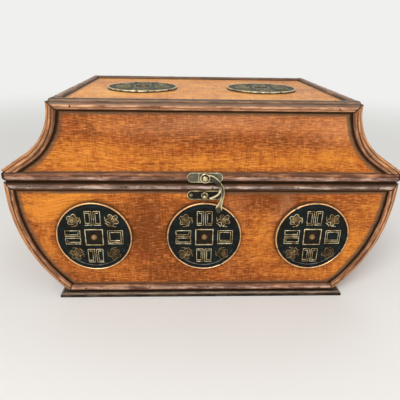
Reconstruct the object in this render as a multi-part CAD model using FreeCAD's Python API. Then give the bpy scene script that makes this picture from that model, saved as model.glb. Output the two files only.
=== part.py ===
"""Keepsake chest with a hinged lid, coin medallions and a swing-hook latch.

Millimetres, +Z up.  The origin is the middle of the plinth's underside, +X is to the right of
someone who faces the latch, and the latch is on the -Y side.  Front and back are flat and
upright; the ends bulge on the tray and sweep in on the lid.
"""
import FreeCAD, Part
import math
import os

from FreeCAD import Vector

# --- plinth and boards -------------------------------------------------------------------
PLINTH_THICK = 4.4
PLINTH_FRONT_LEDGE = 4.0     # plinth beyond the front and back boards
PLINTH_END_LEDGE = 12.0      # plinth beyond the feet of the two ends
BODY_DEPTH = 180.0           # outside of front board to outside of back board
FACE_BOARD_THICK = 6.0       # front and back boards
END_BOARD_THICK = 5.0
FLOOR_THICK = 5.0
FLOOR_PLAY = 0.2             # floor board to the bent end boards
TOP_BOARD_THICK = 5.5

# --- outline of the front face -----------------------------------------------------------
TRAY_HEIGHT = 114.6
LID_HEIGHT = 68.5
SEAM_GAP = 0.3               # lacquered rims stand this far apart
FOOT_HALF_WIDTH = 126.5      # half-width of the tray where it meets the plinth
SEAM_HALF_WIDTH = 172.5      # half-width where lid and tray meet
CROWN_HALF_WIDTH = 128.0     # half-width at the top of the lid
TRAY_BULGE_RADIUS = 140.0
LID_BAND_HEIGHT = 8.6        # upright band at the bottom of the lid's ends
LID_FLARE_LENGTH = 24.4      # straight flare above that band, before the hollow sweep
CROWN_LAND = 1.5             # upright land at the top of the lid's ends

# --- half-round mouldings ----------------------------------------------------------------
STRIP_PROUD = 3.0
STRIP_ROUND = 1.8            # rounding of a moulding's two outer edges
SIDE_STRIP_WIDTH = 6.0       # mouldings that follow the curved edges
CROWN_STRIP_WIDTH = 5.9
LID_RIM_STRIP_WIDTH = 7.8
TRAY_RIM_STRIP_WIDTH = 5.9
FOOT_STRIP_WIDTH = 6.6
RIM_STRIP_SETBACK = 1.1      # rim mouldings stop short of the seam
FOOT_STRIP_LIFT = 2.2        # foot mouldings stand clear of the plinth

# --- coin medallions ---------------------------------------------------------------------
MEDALLION_RADIUS = 34.8
MEDALLION_THICK = 2.2
MEDALLION_RELIEF = 0.6
MEDALLION_RIM = 1.3
FRONT_MEDALLION_PITCH = 101.0
FRONT_MEDALLION_HEIGHT = 66.2
TOP_MEDALLION_PITCH = 121.0
COIN_SQUARE = 17.0           # square outline in the middle of each medallion
COIN_SQUARE_LINE = 1.1
COIN_NAIL_RADIUS = 2.85
COIN_NAIL_DOME = 1.5

# --- latch -------------------------------------------------------------------------------
LATCH_PLATE_LENGTH = 31.6
LATCH_PLATE_HEIGHT = 9.2
LATCH_PLATE_THICK = 1.0
LATCH_PLATE_DROP = 0.2       # top plate's lower edge below the lid moulding's lower edge
LATCH_BOSS_RADIUS = 3.6      # raised seat under the hook's eye
LATCH_BOSS_THICK = 0.7
CATCH_PLATE_HEIGHT = 9.0
CATCH_PLATE_DROP = 0.3       # catch plate's upper edge below the tray's rim moulding
HOOK_THICK = 1.4
HOOK_PLAY = 0.15             # air between the hook and its boss, and under the rivet's head
HOOK_EYE_RADIUS = 4.3
HOOK_ARM_TURN = 224.0        # degrees swept by the round arm, from the pivot to the tip
HOOK_ARM_WIDTH = 3.3
HOOK_TIP_WIDTH = 1.8
HOOK_TIP_GAP = 0.5           # hook's tip to the catch post
HOOK_TAIL_ROOT_ANGLE = -25.0   # where the tail leaves the arm, from level
HOOK_TAIL_HEADING = -98.0      # direction of the tail, from level
HOOK_TAIL_LENGTH = 15.0
HOOK_TAIL_WIDTH = 2.6
HOOK_THUMB_RADIUS = 3.2
RIVET_RADIUS = 1.3
RIVET_HEAD_RADIUS = 2.5
RIVET_HEAD_DOME = 1.3
POST_RADIUS = 1.3
POST_KNOB_RADIUS = 2.5
POST_KNOB_DOME = 2.4
POST_FOOT_RADIUS = 3.0
POST_FOOT_THICK = 0.8
LATCH_SWING = 110.0

# --- hinges ------------------------------------------------------------------------------
HINGE_PITCH = 190.0          # middle of one hinge to the middle of the other
HINGE_LENGTH = 30.0
HINGE_SET_IN = 1.6           # axis inside the outer face of the back mouldings
HINGE_LEAF_DEPTH = 6.9       # leaf measured from the hinge's axis
HINGE_LEAF_THICK = 0.8
HINGE_KNUCKLE_RADIUS = 1.2
HINGE_PIN_RADIUS = 0.6
HINGE_RELIEF = 0.3           # air round the knuckle where it is let into the wood
KNUCKLE_GAP = 0.2            # between neighbouring knuckles
LEAF_PLAY = 0.05             # side play of a leaf in its recess

# --- fits and small nails ----------------------------------------------------------------
RUNNING_CLEARANCE = 0.05
NAIL_CLEARANCE = 0.02
NAIL_RADIUS = 0.6
NAIL_HEAD_RADIUS = 1.3
NAIL_HEAD_DOME = 0.5
NAIL_GRIP = 3.0              # length of nail held in a board
PLATE_NAIL_INSET = 3.6       # nail to the end of a latch plate
LEAF_NAIL_PITCH = 20.0
LEAF_NAIL_DOME = 0.3         # flat enough for the two leaves to close on each other

# --- levels and planes that follow from the sizes above -----------------------------------
TRAY_BASE = PLINTH_THICK
TRAY_RIM = TRAY_BASE + TRAY_HEIGHT
LID_BASE = TRAY_RIM + SEAM_GAP
LID_TOP = LID_BASE + LID_HEIGHT
BAND_TOP = LID_BASE + LID_BAND_HEIGHT
PLINTH_LENGTH = 2 * (FOOT_HALF_WIDTH + PLINTH_END_LEDGE)
PLINTH_DEPTH = BODY_DEPTH + 2 * PLINTH_FRONT_LEDGE
FACE_Y = BODY_DEPTH / 2
INNER_Y = FACE_Y - FACE_BOARD_THICK
FOOT_STRIP_Z = TRAY_BASE + FOOT_STRIP_LIFT
TRAY_STRIP_TOP = TRAY_RIM - RIM_STRIP_SETBACK
TRAY_STRIP_Z = TRAY_STRIP_TOP - TRAY_RIM_STRIP_WIDTH
LID_STRIP_Z = LID_BASE + RIM_STRIP_SETBACK
LID_STRIP_TOP = LID_STRIP_Z + LID_RIM_STRIP_WIDTH
CROWN_STRIP_Z = LID_TOP - CROWN_STRIP_WIDTH
HINGE_Y = FACE_Y + STRIP_PROUD - HINGE_SET_IN
HINGE_Z = TRAY_RIM + SEAM_GAP / 2

UP = Vector(0, 0, 1)
RIGHT = Vector(1, 0, 0)
LEFT = Vector(-1, 0, 0)
BACK = Vector(0, 1, 0)
FRONT = Vector(0, -1, 0)
ORIGIN = Vector(0, 0, 0)


# --- plain helpers -----------------------------------------------------------------------
def line(start, end):
    """Straight edge between two points."""
    return Part.LineSegment(start, end).toShape()


def arc(start, middle, end):
    """Round edge through three points."""
    return Part.Arc(start, middle, end).toShape()


def box(low, high):
    """Box between two corners."""
    size = high - low
    return Part.makeBox(size.x, size.y, size.z, low)


def mirrored(shape, across):
    """Copy of a shape reflected in the plane through the origin that `across` is normal to."""
    return shape.mirror(ORIGIN, across)


def group(shapes):
    """Separate solids kept together as one node."""
    return Part.makeCompound(shapes)


def cut_all(shape, tools):
    """Shape with each of the tools taken out."""
    for tool in tools:
        shape = shape.cut(tool)
    return shape


def dome_nail(seat, outward, head_radius, dome, shank_radius, shank_length):
    """Nail whose domed head sits on `seat`, with its shank running inwards."""
    sphere_radius = (head_radius ** 2 + dome ** 2) / (2 * dome)
    ball = Part.makeSphere(sphere_radius, seat + outward * (dome - sphere_radius))
    head = Part.makeCylinder(head_radius, dome, seat, outward).common(ball)
    shank = Part.makeCylinder(shank_radius, shank_length, seat, outward * -1)
    return head.fuse(shank).removeSplitter()


def nail_hole(seat, outward, radius, depth):
    """Tool for the hole that a nail or rivet runs in, starting a little outside its seat."""
    start = seat + outward * STRIP_PROUD
    return Part.makeCylinder(radius + NAIL_CLEARANCE, depth + STRIP_PROUD, start, outward * -1)


# --- the two end curves ------------------------------------------------------------------
def tray_arc_centre():
    """Centre (x, z) of the arc through the tray's foot corner and rim corner."""
    foot = Vector(FOOT_HALF_WIDTH, 0, TRAY_BASE)
    rim = Vector(SEAM_HALF_WIDTH, 0, TRAY_RIM)
    chord = rim - foot
    half = chord.Length / 2
    reach = math.sqrt(TRAY_BULGE_RADIUS ** 2 - half ** 2)
    inward = Vector(-chord.z, 0, chord.x) * (1 / chord.Length)
    return (foot + rim) * 0.5 + inward * reach


TRAY_CENTRE = tray_arc_centre()


def lid_hollow():
    """Turn and radius of the sweep that leaves the crown upright and runs into the flare."""
    run = SEAM_HALF_WIDTH - CROWN_HALF_WIDTH
    drop = LID_TOP - CROWN_LAND - BAND_TOP
    turn = 2 * math.atan2(run, drop + LID_FLARE_LENGTH)
    radius = (drop - LID_FLARE_LENGTH * math.cos(turn)) / math.sin(turn)
    return turn, radius


LID_TURN, LID_RADIUS = lid_hollow()
LID_CENTRE = Vector(CROWN_HALF_WIDTH + LID_RADIUS, 0, LID_TOP - CROWN_LAND)
FLARE_ALONG = Vector(math.sin(LID_TURN), 0, -math.cos(LID_TURN))      # outwards and down
FLARE_NORMAL = Vector(FLARE_ALONG.z, 0, -FLARE_ALONG.x)               # into the lid


def tray_x(z, inset=0.0):
    """Half-width of the tray's outline at a height, `inset` inside its face."""
    radius = TRAY_BULGE_RADIUS - inset
    return TRAY_CENTRE.x + math.sqrt(radius ** 2 - (z - TRAY_CENTRE.z) ** 2)


def lid_flare_start(inset):
    """Point where the hollow sweep runs into the flare, `inset` inside the face."""
    return LID_CENTRE + FLARE_NORMAL * (LID_RADIUS + inset)


def lid_x(z, inset=0.0):
    """Half-width of the lid's outline at a height, `inset` inside its face."""
    start = lid_flare_start(inset)
    if z >= LID_CENTRE.z:
        return CROWN_HALF_WIDTH - inset
    if z >= start.z:
        return LID_CENTRE.x - math.sqrt((LID_RADIUS + inset) ** 2 - (z - LID_CENTRE.z) ** 2)
    along = (start.z - z) * math.tan(LID_TURN)
    return min(start.x + along, SEAM_HALF_WIDTH - inset)


def tray_end_edges(inset, low, high):
    """Edges of the tray's right-hand end curve from one height up to another."""
    middle = (low + high) / 2
    points = [Vector(tray_x(z, inset), 0, z) for z in (low, middle, high)]
    return [arc(*points)]


def lid_end_edges(inset, high):
    """Edges of the lid's right-hand end curve from the lid's rim up to a height."""
    start = lid_flare_start(inset)
    corner_x = SEAM_HALF_WIDTH - inset
    corner = Vector(corner_x, 0, start.z - (corner_x - start.x) / math.tan(LID_TURN))
    sweep_top = min(high, LID_CENTRE.z)
    middle_z = (start.z + sweep_top) / 2
    sweep_end = Vector(lid_x(sweep_top, inset), 0, sweep_top)
    edges = [line(Vector(corner_x, 0, LID_BASE), corner), line(corner, start),
             arc(start, Vector(lid_x(middle_z, inset), 0, middle_z), sweep_end)]
    if high > sweep_top:
        edges.append(line(sweep_end, Vector(sweep_end.x, 0, high)))
    return edges


def symmetrical_board(edges, y_low, y_high):
    """Board with the given right-hand edge, reflected to the left, between two planes."""
    bottom = edges[0].firstVertex(True).Point
    top = edges[-1].lastVertex(True).Point
    outline = [line(Vector(0, 0, bottom.z), bottom)] + edges
    outline += [line(top, Vector(0, 0, top.z)), line(Vector(0, 0, top.z), Vector(0, 0, bottom.z))]
    half = Part.Face(Part.Wire(outline)).extrude(BACK * (y_high - y_low))
    half.translate(BACK * y_low)
    return half.fuse(mirrored(half, RIGHT)).removeSplitter()


# --- boards ------------------------------------------------------------------------------
def plinth():
    """Flat slab that the chest stands on."""
    low = Vector(-PLINTH_LENGTH / 2, -PLINTH_DEPTH / 2, 0)
    return box(low, Vector(PLINTH_LENGTH / 2, PLINTH_DEPTH / 2, PLINTH_THICK))


def tray_face_board():
    """Front board of the tray."""
    return symmetrical_board(tray_end_edges(0, TRAY_BASE, TRAY_RIM), -FACE_Y, -INNER_Y)


def lid_face_board():
    """Front board of the lid."""
    return symmetrical_board(lid_end_edges(0, LID_TOP), -FACE_Y, -INNER_Y)


def tray_floor():
    """Bottom board, fitted between the four walls of the tray."""
    edges = tray_end_edges(END_BOARD_THICK + FLOOR_PLAY, TRAY_BASE, TRAY_BASE + FLOOR_THICK)
    return symmetrical_board(edges, -INNER_Y, INNER_Y)


def lid_top_board():
    """Top board, laid on the end boards between the front and back boards."""
    whole = symmetrical_board(lid_end_edges(0, LID_TOP), -INNER_Y, INNER_Y)
    low = Vector(-SEAM_HALF_WIDTH, -INNER_Y, LID_TOP - TOP_BOARD_THICK)
    return whole.common(box(low, Vector(SEAM_HALF_WIDTH, INNER_Y, LID_TOP)))


def tray_end_board():
    """Right-hand end of the tray, bent to the bulge."""
    outside = symmetrical_board(tray_end_edges(0, TRAY_BASE, TRAY_RIM), -INNER_Y, INNER_Y)
    inside = symmetrical_board(tray_end_edges(END_BOARD_THICK, TRAY_BASE, TRAY_RIM), -INNER_Y, INNER_Y)
    return right_half(outside.cut(inside))


def lid_end_board():
    """Right-hand end of the lid, bent to the sweep, up to the underside of the top board."""
    high = LID_TOP - TOP_BOARD_THICK
    outside = symmetrical_board(lid_end_edges(0, high), -INNER_Y, INNER_Y)
    inside = symmetrical_board(lid_end_edges(END_BOARD_THICK, high), -INNER_Y, INNER_Y)
    return right_half(outside.cut(inside))


def right_half(shape):
    """The solid of a mirrored pair that lies on the right."""
    return max(shape.Solids, key=lambda solid: solid.CenterOfMass.x)


# --- mouldings ---------------------------------------------------------------------------
def moulding_section(corner, across, out, width, sink=0.0):
    """Face of a moulding's section: `width` along the board, rounded where it stands proud."""
    def at(along, height):
        return corner + across * along + out * height

    shoulder = STRIP_PROUD - STRIP_ROUND
    bevel = STRIP_ROUND * (1 - math.cos(math.pi / 4))
    crest = STRIP_PROUD - bevel
    edges = [line(at(0, -sink), at(0, shoulder)),
             arc(at(0, shoulder), at(bevel, crest), at(STRIP_ROUND, STRIP_PROUD)),
             line(at(STRIP_ROUND, STRIP_PROUD), at(width - STRIP_ROUND, STRIP_PROUD)),
             arc(at(width - STRIP_ROUND, STRIP_PROUD), at(width - bevel, crest), at(width, shoulder)),
             line(at(width, shoulder), at(width, -sink)),
             line(at(width, -sink), at(0, -sink))]
    return Part.Face(Part.Wire(edges))


def face_strip(half_length, z, width):
    """Level moulding on the front face, with square ends."""
    section = moulding_section(Vector(-half_length, -FACE_Y, z), UP, FRONT, width)
    return section.extrude(RIGHT * (2 * half_length))


def mitre_tool(outer, inner, towards):
    """Slab that takes away everything beyond the line through two points of a face."""
    along = (outer - inner).normalize()
    reach = 3 * SIDE_STRIP_WIDTH
    start = inner - along * reach
    end = outer + along * reach
    points = [start, end, end + towards * reach, start + towards * reach, start]
    face = Part.Face(Part.makePolygon(points))
    tool = face.extrude(BACK * (BODY_DEPTH + 8 * STRIP_PROUD))
    tool.translate(FRONT * (FACE_Y + 4 * STRIP_PROUD))
    return tool


def mitre_ends(strip, outer, inner, towards):
    """Level moulding cut to a mitre at both ends; `outer` and `inner` are the right-hand one's."""
    tool = mitre_tool(outer, inner, towards)
    return strip.cut(tool).cut(mirrored(tool, RIGHT))


def around(section, centre, turn):
    """Section swept about a level axis through `centre`, by a turn in degrees about +Y."""
    return section.revolve(Vector(centre.x, 0, centre.z), BACK, turn)


def angle_at(centre, point):
    """Direction of a point from a centre, in radians, measured in the XZ plane."""
    return math.atan2(point.z - centre.z, point.x - centre.x)


def tray_side_sweep(corner_y, across, out_is_radial):
    """Moulding along the tray's right-hand end curve, over its whole height and a bit more."""
    extra = math.radians(2.0)
    low = angle_at(TRAY_CENTRE, Vector(tray_x(FOOT_STRIP_Z), 0, FOOT_STRIP_Z)) - extra
    high = angle_at(TRAY_CENTRE, Vector(tray_x(TRAY_STRIP_TOP), 0, TRAY_STRIP_TOP)) + extra
    radial = Vector(math.cos(low), 0, math.sin(low))
    corner = Vector(TRAY_CENTRE.x, corner_y, TRAY_CENTRE.z) + radial * TRAY_BULGE_RADIUS
    if out_is_radial:
        section = moulding_section(corner, across, radial, SIDE_STRIP_WIDTH)
    else:
        section = moulding_section(corner, radial * -1, across, SIDE_STRIP_WIDTH)
    return around(section, TRAY_CENTRE, -math.degrees(high - low))


def lid_side_sweep(corner_y, across, out_is_radial):
    """Moulding along the lid's right-hand end curve: land, hollow sweep and flare in one."""
    def section_at(point, inward):
        corner = Vector(point.x, corner_y, point.z)
        if out_is_radial:
            return moulding_section(corner, across, inward * -1, SIDE_STRIP_WIDTH)
        return moulding_section(corner, inward, across, SIDE_STRIP_WIDTH)

    start = lid_flare_start(0)
    crown = Vector(CROWN_HALF_WIDTH, 0, LID_CENTRE.z)
    land = section_at(crown, LEFT).extrude(UP * CROWN_LAND)
    sweep = around(section_at(crown, LEFT), LID_CENTRE, -math.degrees(LID_TURN))
    flare = section_at(start, FLARE_NORMAL).extrude(FLARE_ALONG * LID_FLARE_LENGTH)
    return land.fuse([sweep, flare]).removeSplitter()


def between_levels(shape, low, high):
    """Part of a moulding that lies between two heights."""
    reach = SEAM_HALF_WIDTH + PLINTH_DEPTH
    return shape.common(box(Vector(-reach, -reach, low), Vector(reach, reach, high)))


def tray_front_strips():
    """Rim, foot and right-hand curved moulding of the tray's front face, mitred together."""
    rim_outer = Vector(tray_x(TRAY_STRIP_TOP), 0, TRAY_STRIP_TOP)
    rim_inner = Vector(tray_x(TRAY_STRIP_Z, SIDE_STRIP_WIDTH), 0, TRAY_STRIP_Z)
    foot_outer = Vector(tray_x(FOOT_STRIP_Z), 0, FOOT_STRIP_Z)
    foot_top = FOOT_STRIP_Z + FOOT_STRIP_WIDTH
    foot_inner = Vector(tray_x(foot_top, SIDE_STRIP_WIDTH), 0, foot_top)
    reach = PLINTH_LENGTH
    rim = face_strip(reach, TRAY_STRIP_Z, TRAY_RIM_STRIP_WIDTH)
    foot = face_strip(reach, FOOT_STRIP_Z, FOOT_STRIP_WIDTH)
    rim_limit = box(Vector(-rim_outer.x, -reach, 0), Vector(rim_outer.x, 0, TRAY_RIM))
    foot_limit = box(Vector(-tray_x(foot_top), -reach, 0), Vector(tray_x(foot_top), 0, TRAY_RIM))
    rim = mitre_ends(rim.common(rim_limit), rim_outer, rim_inner, RIGHT)
    foot = mitre_ends(foot.common(foot_limit), foot_outer, foot_inner, RIGHT)
    side = tray_side_sweep(-FACE_Y, FRONT, False)
    side = side.cut(mitre_tool(rim_outer, rim_inner, LEFT))
    side = side.cut(mitre_tool(foot_outer, foot_inner, LEFT))
    return rim, foot, between_levels(side, FOOT_STRIP_Z, TRAY_STRIP_TOP)


def lid_front_strips():
    """Crown, rim and right-hand curved moulding of the lid's front face."""
    outer = Vector(CROWN_HALF_WIDTH, 0, LID_TOP)
    inner = Vector(lid_x(CROWN_STRIP_Z, SIDE_STRIP_WIDTH), 0, CROWN_STRIP_Z)
    crown = face_strip(lid_x(CROWN_STRIP_Z), CROWN_STRIP_Z, CROWN_STRIP_WIDTH)
    crown = mitre_ends(crown, outer, inner, RIGHT)
    rim = face_strip(SEAM_HALF_WIDTH, LID_STRIP_Z, LID_RIM_STRIP_WIDTH)
    side = lid_side_sweep(-FACE_Y, FRONT, False).cut(mitre_tool(outer, inner, LEFT))
    return crown, rim, between_levels(side, LID_STRIP_TOP, LID_TOP)


def level_end_strip(face_x, low, width, boards):
    """Level moulding on the right-hand end, between that end's two curved mouldings."""
    foot = Vector(face_x(low), 0, low)
    head = Vector(face_x(low + width), 0, low + width)
    along = (head - foot).normalize()
    out = Vector(along.z, 0, -along.x)
    half = FACE_Y - SIDE_STRIP_WIDTH
    section = moulding_section(foot - BACK * half, along, out, width, STRIP_PROUD / 4)
    return cut_all(section.extrude(BACK * (2 * half)), boards)


def tray_end_strips(boards):
    """Rim, foot and pair of curved mouldings on the tray's right-hand end."""
    rim = level_end_strip(tray_x, TRAY_STRIP_Z, TRAY_RIM_STRIP_WIDTH, boards)
    foot = level_end_strip(tray_x, FOOT_STRIP_Z, FOOT_STRIP_WIDTH, boards)
    side = between_levels(tray_side_sweep(-FACE_Y, BACK, True), FOOT_STRIP_Z, TRAY_STRIP_TOP)
    return rim, foot, group([side, mirrored(side, BACK)])


def lid_end_strips(boards):
    """Crown, rim and pair of curved mouldings on the lid's right-hand end."""
    crown = level_end_strip(lid_x, CROWN_STRIP_Z, CROWN_STRIP_WIDTH, boards)
    corner = Vector(SEAM_HALF_WIDTH, -FACE_Y, LID_STRIP_Z)
    rim = moulding_section(corner, UP, RIGHT, LID_RIM_STRIP_WIDTH).extrude(BACK * BODY_DEPTH)
    side = between_levels(lid_side_sweep(-FACE_Y, BACK, True), LID_STRIP_TOP, LID_TOP)
    return crown, rim, group([side, mirrored(side, BACK)])


def top_strips():
    """Pairs of long and short mouldings round the lid's top, mitred at the corners."""
    outer = Vector(CROWN_HALF_WIDTH, -FACE_Y, LID_TOP)
    inner = outer + Vector(-SIDE_STRIP_WIDTH, SIDE_STRIP_WIDTH, 0)
    long_section = moulding_section(Vector(-outer.x, outer.y, LID_TOP), BACK, UP, SIDE_STRIP_WIDTH)
    short_section = moulding_section(outer, LEFT, UP, SIDE_STRIP_WIDTH)
    half_corner = Part.Face(Part.makePolygon([outer, inner, Vector(outer.x, inner.y, LID_TOP), outer]))
    corner = half_corner.extrude(UP * (2 * STRIP_PROUD))
    long_strip = long_section.extrude(RIGHT * (2 * outer.x)).cut(corner).cut(mirrored(corner, RIGHT))
    short_strip = short_section.extrude(BACK * (2 * FACE_Y))
    other_corner = Part.Face(Part.makePolygon([outer, inner, Vector(inner.x, outer.y, LID_TOP), outer]))
    other = other_corner.extrude(UP * (2 * STRIP_PROUD))
    short_strip = short_strip.cut(other).cut(mirrored(other, BACK))
    return (group([long_strip, mirrored(long_strip, BACK)]),
            group([mirrored(short_strip, RIGHT), short_strip]))


# --- medallions --------------------------------------------------------------------------
def medallion():
    """Coin disc lying on the XY plane, face up, with its rim, square outline and nail hole."""
    disc = Part.makeCylinder(MEDALLION_RADIUS, MEDALLION_THICK)
    face = UP * MEDALLION_THICK
    field = Part.makeCylinder(MEDALLION_RADIUS - MEDALLION_RIM, MEDALLION_RELIEF, face)
    rim = Part.makeCylinder(MEDALLION_RADIUS, MEDALLION_RELIEF, face).cut(field)
    half = COIN_SQUARE / 2
    inside = half - COIN_SQUARE_LINE
    high = MEDALLION_THICK + MEDALLION_RELIEF
    square = box(Vector(-half, -half, MEDALLION_THICK), Vector(half, half, high))
    square = square.cut(box(Vector(-inside, -inside, MEDALLION_THICK), Vector(inside, inside, high)))
    disc = disc.fuse([rim, square]).removeSplitter()
    return disc.cut(nail_hole(face, UP, NAIL_RADIUS, MEDALLION_THICK + NAIL_GRIP))


def coin_nail():
    """Dome-headed nail through the middle of a medallion."""
    length = MEDALLION_THICK + NAIL_GRIP
    return dome_nail(UP * MEDALLION_THICK, UP, COIN_NAIL_RADIUS, COIN_NAIL_DOME, NAIL_RADIUS, length)


def front_placement(x):
    """Stands a medallion up on the front face."""
    turn = FreeCAD.Rotation(RIGHT, 90)
    return FreeCAD.Placement(Vector(x, -FACE_Y, FRONT_MEDALLION_HEIGHT), turn)


def top_placement(x):
    """Lays a medallion on the lid's top board."""
    return FreeCAD.Placement(Vector(x, 0, LID_TOP), FreeCAD.Rotation())


def placed(shape, placement):
    """Copy of a shape moved by a placement."""
    return shape.transformed(placement.toMatrix(), True)


FRONT_COINS = {"left": -FRONT_MEDALLION_PITCH, "middle": 0.0, "right": FRONT_MEDALLION_PITCH}
TOP_COINS = {"left": -TOP_MEDALLION_PITCH / 2, "right": TOP_MEDALLION_PITCH / 2}


def coin_hole():
    """Hole under a medallion's nail, in the board it is nailed to."""
    return nail_hole(ORIGIN, UP, NAIL_RADIUS, NAIL_GRIP)


# --- latch -------------------------------------------------------------------------------
LATCH_PLATE_Z = LID_STRIP_Z - LATCH_PLATE_DROP
PIVOT_Z = LATCH_PLATE_Z + LATCH_PLATE_HEIGHT / 2
LATCH_FACE_Y = -FACE_Y - STRIP_PROUD
HOOK_BACK_Y = LATCH_FACE_Y - LATCH_PLATE_THICK - LATCH_BOSS_THICK - HOOK_PLAY
CATCH_TOP = TRAY_STRIP_Z - CATCH_PLATE_DROP
POST_Z = CATCH_TOP - CATCH_PLATE_HEIGHT / 2
PLATE_NAIL_X = LATCH_PLATE_LENGTH / 2 - PLATE_NAIL_INSET


def lobed_plate(z_low, height, y_back):
    """Thin plate with fully rounded ends, its back on the plane y = y_back."""
    radius = height / 2
    half = LATCH_PLATE_LENGTH / 2 - radius
    bar = box(Vector(-half, y_back - LATCH_PLATE_THICK, z_low),
              Vector(half, y_back, z_low + height))
    ends = [Part.makeCylinder(radius, LATCH_PLATE_THICK, Vector(x, y_back, z_low + radius), FRONT)
            for x in (-half, half)]
    return bar.fuse(ends).removeSplitter()


def plate_nail_seats(z, y):
    """Where the two nails of a latch plate sit."""
    return [Vector(x, y, z) for x in (-PLATE_NAIL_X, PLATE_NAIL_X)]


def latch_nail_seats():
    """Nail seats of the plate on the lid."""
    return plate_nail_seats(PIVOT_Z, LATCH_FACE_Y - LATCH_PLATE_THICK)


def catch_nail_seats():
    """Nail seats of the plate on the tray."""
    return plate_nail_seats(POST_Z, -FACE_Y - LATCH_PLATE_THICK)


LATCH_NAIL_LENGTH = LATCH_PLATE_THICK + STRIP_PROUD + NAIL_GRIP
CATCH_NAIL_LENGTH = LATCH_PLATE_THICK + NAIL_GRIP


def small_nails(seats, outward, length, dome=NAIL_HEAD_DOME):
    """Group of small dome-headed nails."""
    return group([dome_nail(seat, outward, NAIL_HEAD_RADIUS, dome, NAIL_RADIUS, length)
                  for seat in seats])


def small_holes(seats, outward, length):
    """Tools for the holes of a group of small nails."""
    return [nail_hole(seat, outward, NAIL_RADIUS, length) for seat in seats]


def latch_plate():
    """Plate on the lid's rim moulding that carries the hook."""
    plate = lobed_plate(LATCH_PLATE_Z, LATCH_PLATE_HEIGHT, LATCH_FACE_Y)
    holes = small_holes(latch_nail_seats(), FRONT, LATCH_NAIL_LENGTH)
    pivot = Vector(0, LATCH_FACE_Y - LATCH_PLATE_THICK, PIVOT_Z)
    boss = Part.makeCylinder(LATCH_BOSS_RADIUS, LATCH_BOSS_THICK, pivot, FRONT)
    plate = plate.fuse(boss).removeSplitter()
    return cut_all(plate, holes + [nail_hole(pivot, FRONT, RIVET_RADIUS, LATCH_PLATE_THICK)])


def catch_plate():
    """Plate on the tray that carries the catch post."""
    plate = lobed_plate(CATCH_TOP - CATCH_PLATE_HEIGHT, CATCH_PLATE_HEIGHT, -FACE_Y)
    return cut_all(plate, small_holes(catch_nail_seats(), FRONT, CATCH_NAIL_LENGTH))


def catch_post():
    """Post with a foot and a domed knob that the hook's tip closes on."""
    seat = Vector(0, -FACE_Y - LATCH_PLATE_THICK, POST_Z)
    knob_y = HOOK_BACK_Y - HOOK_THICK - HOOK_PLAY
    knob_seat = Vector(0, knob_y, POST_Z)
    foot = Part.makeCylinder(POST_FOOT_RADIUS, POST_FOOT_THICK, seat, FRONT)
    neck_length = seat.y - knob_y
    knob = dome_nail(knob_seat, FRONT, POST_KNOB_RADIUS, POST_KNOB_DOME, POST_RADIUS, neck_length)
    return foot.fuse(knob).removeSplitter()


def hook_point(centre, angle, radius):
    """Point at an angle in degrees and a distance from a centre, on the hook's back plane."""
    turn = math.radians(angle)
    return centre + Vector(math.cos(turn), 0, math.sin(turn)) * radius


def hook_arc():
    """Centre, radius, pivot and tip of the round arm, which ends just right of the post."""
    pivot = Vector(0, HOOK_BACK_Y, PIVOT_Z)
    tip = Vector(POST_RADIUS + HOOK_TIP_GAP + HOOK_TIP_WIDTH, HOOK_BACK_Y, POST_Z - HOOK_TIP_WIDTH)
    chord = pivot - tip
    half_turn = math.radians(HOOK_ARM_TURN / 2)
    radius = chord.Length / 2 / math.sin(half_turn)
    outward = Vector(chord.z, 0, -chord.x) * (1 / chord.Length)
    return (pivot + tip) * 0.5 - outward * (radius * math.cos(half_turn)), radius, pivot, tip


def hook_arm():
    """Crescent from the eye, over the right-hand side, back to the tip beside the post."""
    centre, radius, pivot, tip = hook_arc()
    start = math.degrees(angle_at(centre, pivot))
    end = start - HOOK_ARM_TURN
    middle = (start + end) / 2
    widths = ((start, HOOK_ARM_WIDTH / 2), (middle, HOOK_ARM_WIDTH / 2), (end, HOOK_TIP_WIDTH / 2))
    outer = [hook_point(centre, angle, radius + half) for angle, half in widths]
    inner = [hook_point(centre, angle, radius - half) for angle, half in widths]
    outline = [arc(*outer), line(outer[-1], inner[-1]), arc(*inner), line(inner[0], outer[0])]
    arm = Part.Face(Part.Wire(outline)).extrude(FRONT * HOOK_THICK)
    return arm, tip


def hook_tail():
    """Tail that leaves the arm at its lower right and ends in a thumb tab."""
    centre, radius = hook_arc()[:2]
    root = hook_point(centre, HOOK_TAIL_ROOT_ANGLE, radius)
    heading = math.radians(HOOK_TAIL_HEADING)
    along = Vector(math.cos(heading), 0, math.sin(heading))
    across = Vector(-along.z, 0, along.x)
    thumb = root + along * HOOK_TAIL_LENGTH
    corners = [root + across * (HOOK_ARM_WIDTH / 2), root - across * (HOOK_ARM_WIDTH / 2),
               thumb - across * (HOOK_TAIL_WIDTH / 2), thumb + across * (HOOK_TAIL_WIDTH / 2)]
    bar = Part.Face(Part.makePolygon(corners + corners[:1])).extrude(FRONT * HOOK_THICK)
    return bar, Part.makeCylinder(HOOK_THUMB_RADIUS, HOOK_THICK, thumb, FRONT)


def latch_hook():
    """Swing hook: eye, round arm, rounded tip, tail and thumb tab in one piece."""
    arm, tip = hook_arm()
    pivot = Vector(0, HOOK_BACK_Y, PIVOT_Z)
    eye = Part.makeCylinder(HOOK_EYE_RADIUS, HOOK_THICK, pivot, FRONT)
    bead = Part.makeCylinder(HOOK_TIP_WIDTH / 2, HOOK_THICK, tip, FRONT)
    bar, thumb = hook_tail()
    hook = eye.fuse([arm, bead, bar, thumb]).removeSplitter()
    return hook.cut(Part.makeCylinder(RIVET_RADIUS + RUNNING_CLEARANCE, HOOK_THICK, pivot, FRONT))


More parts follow.
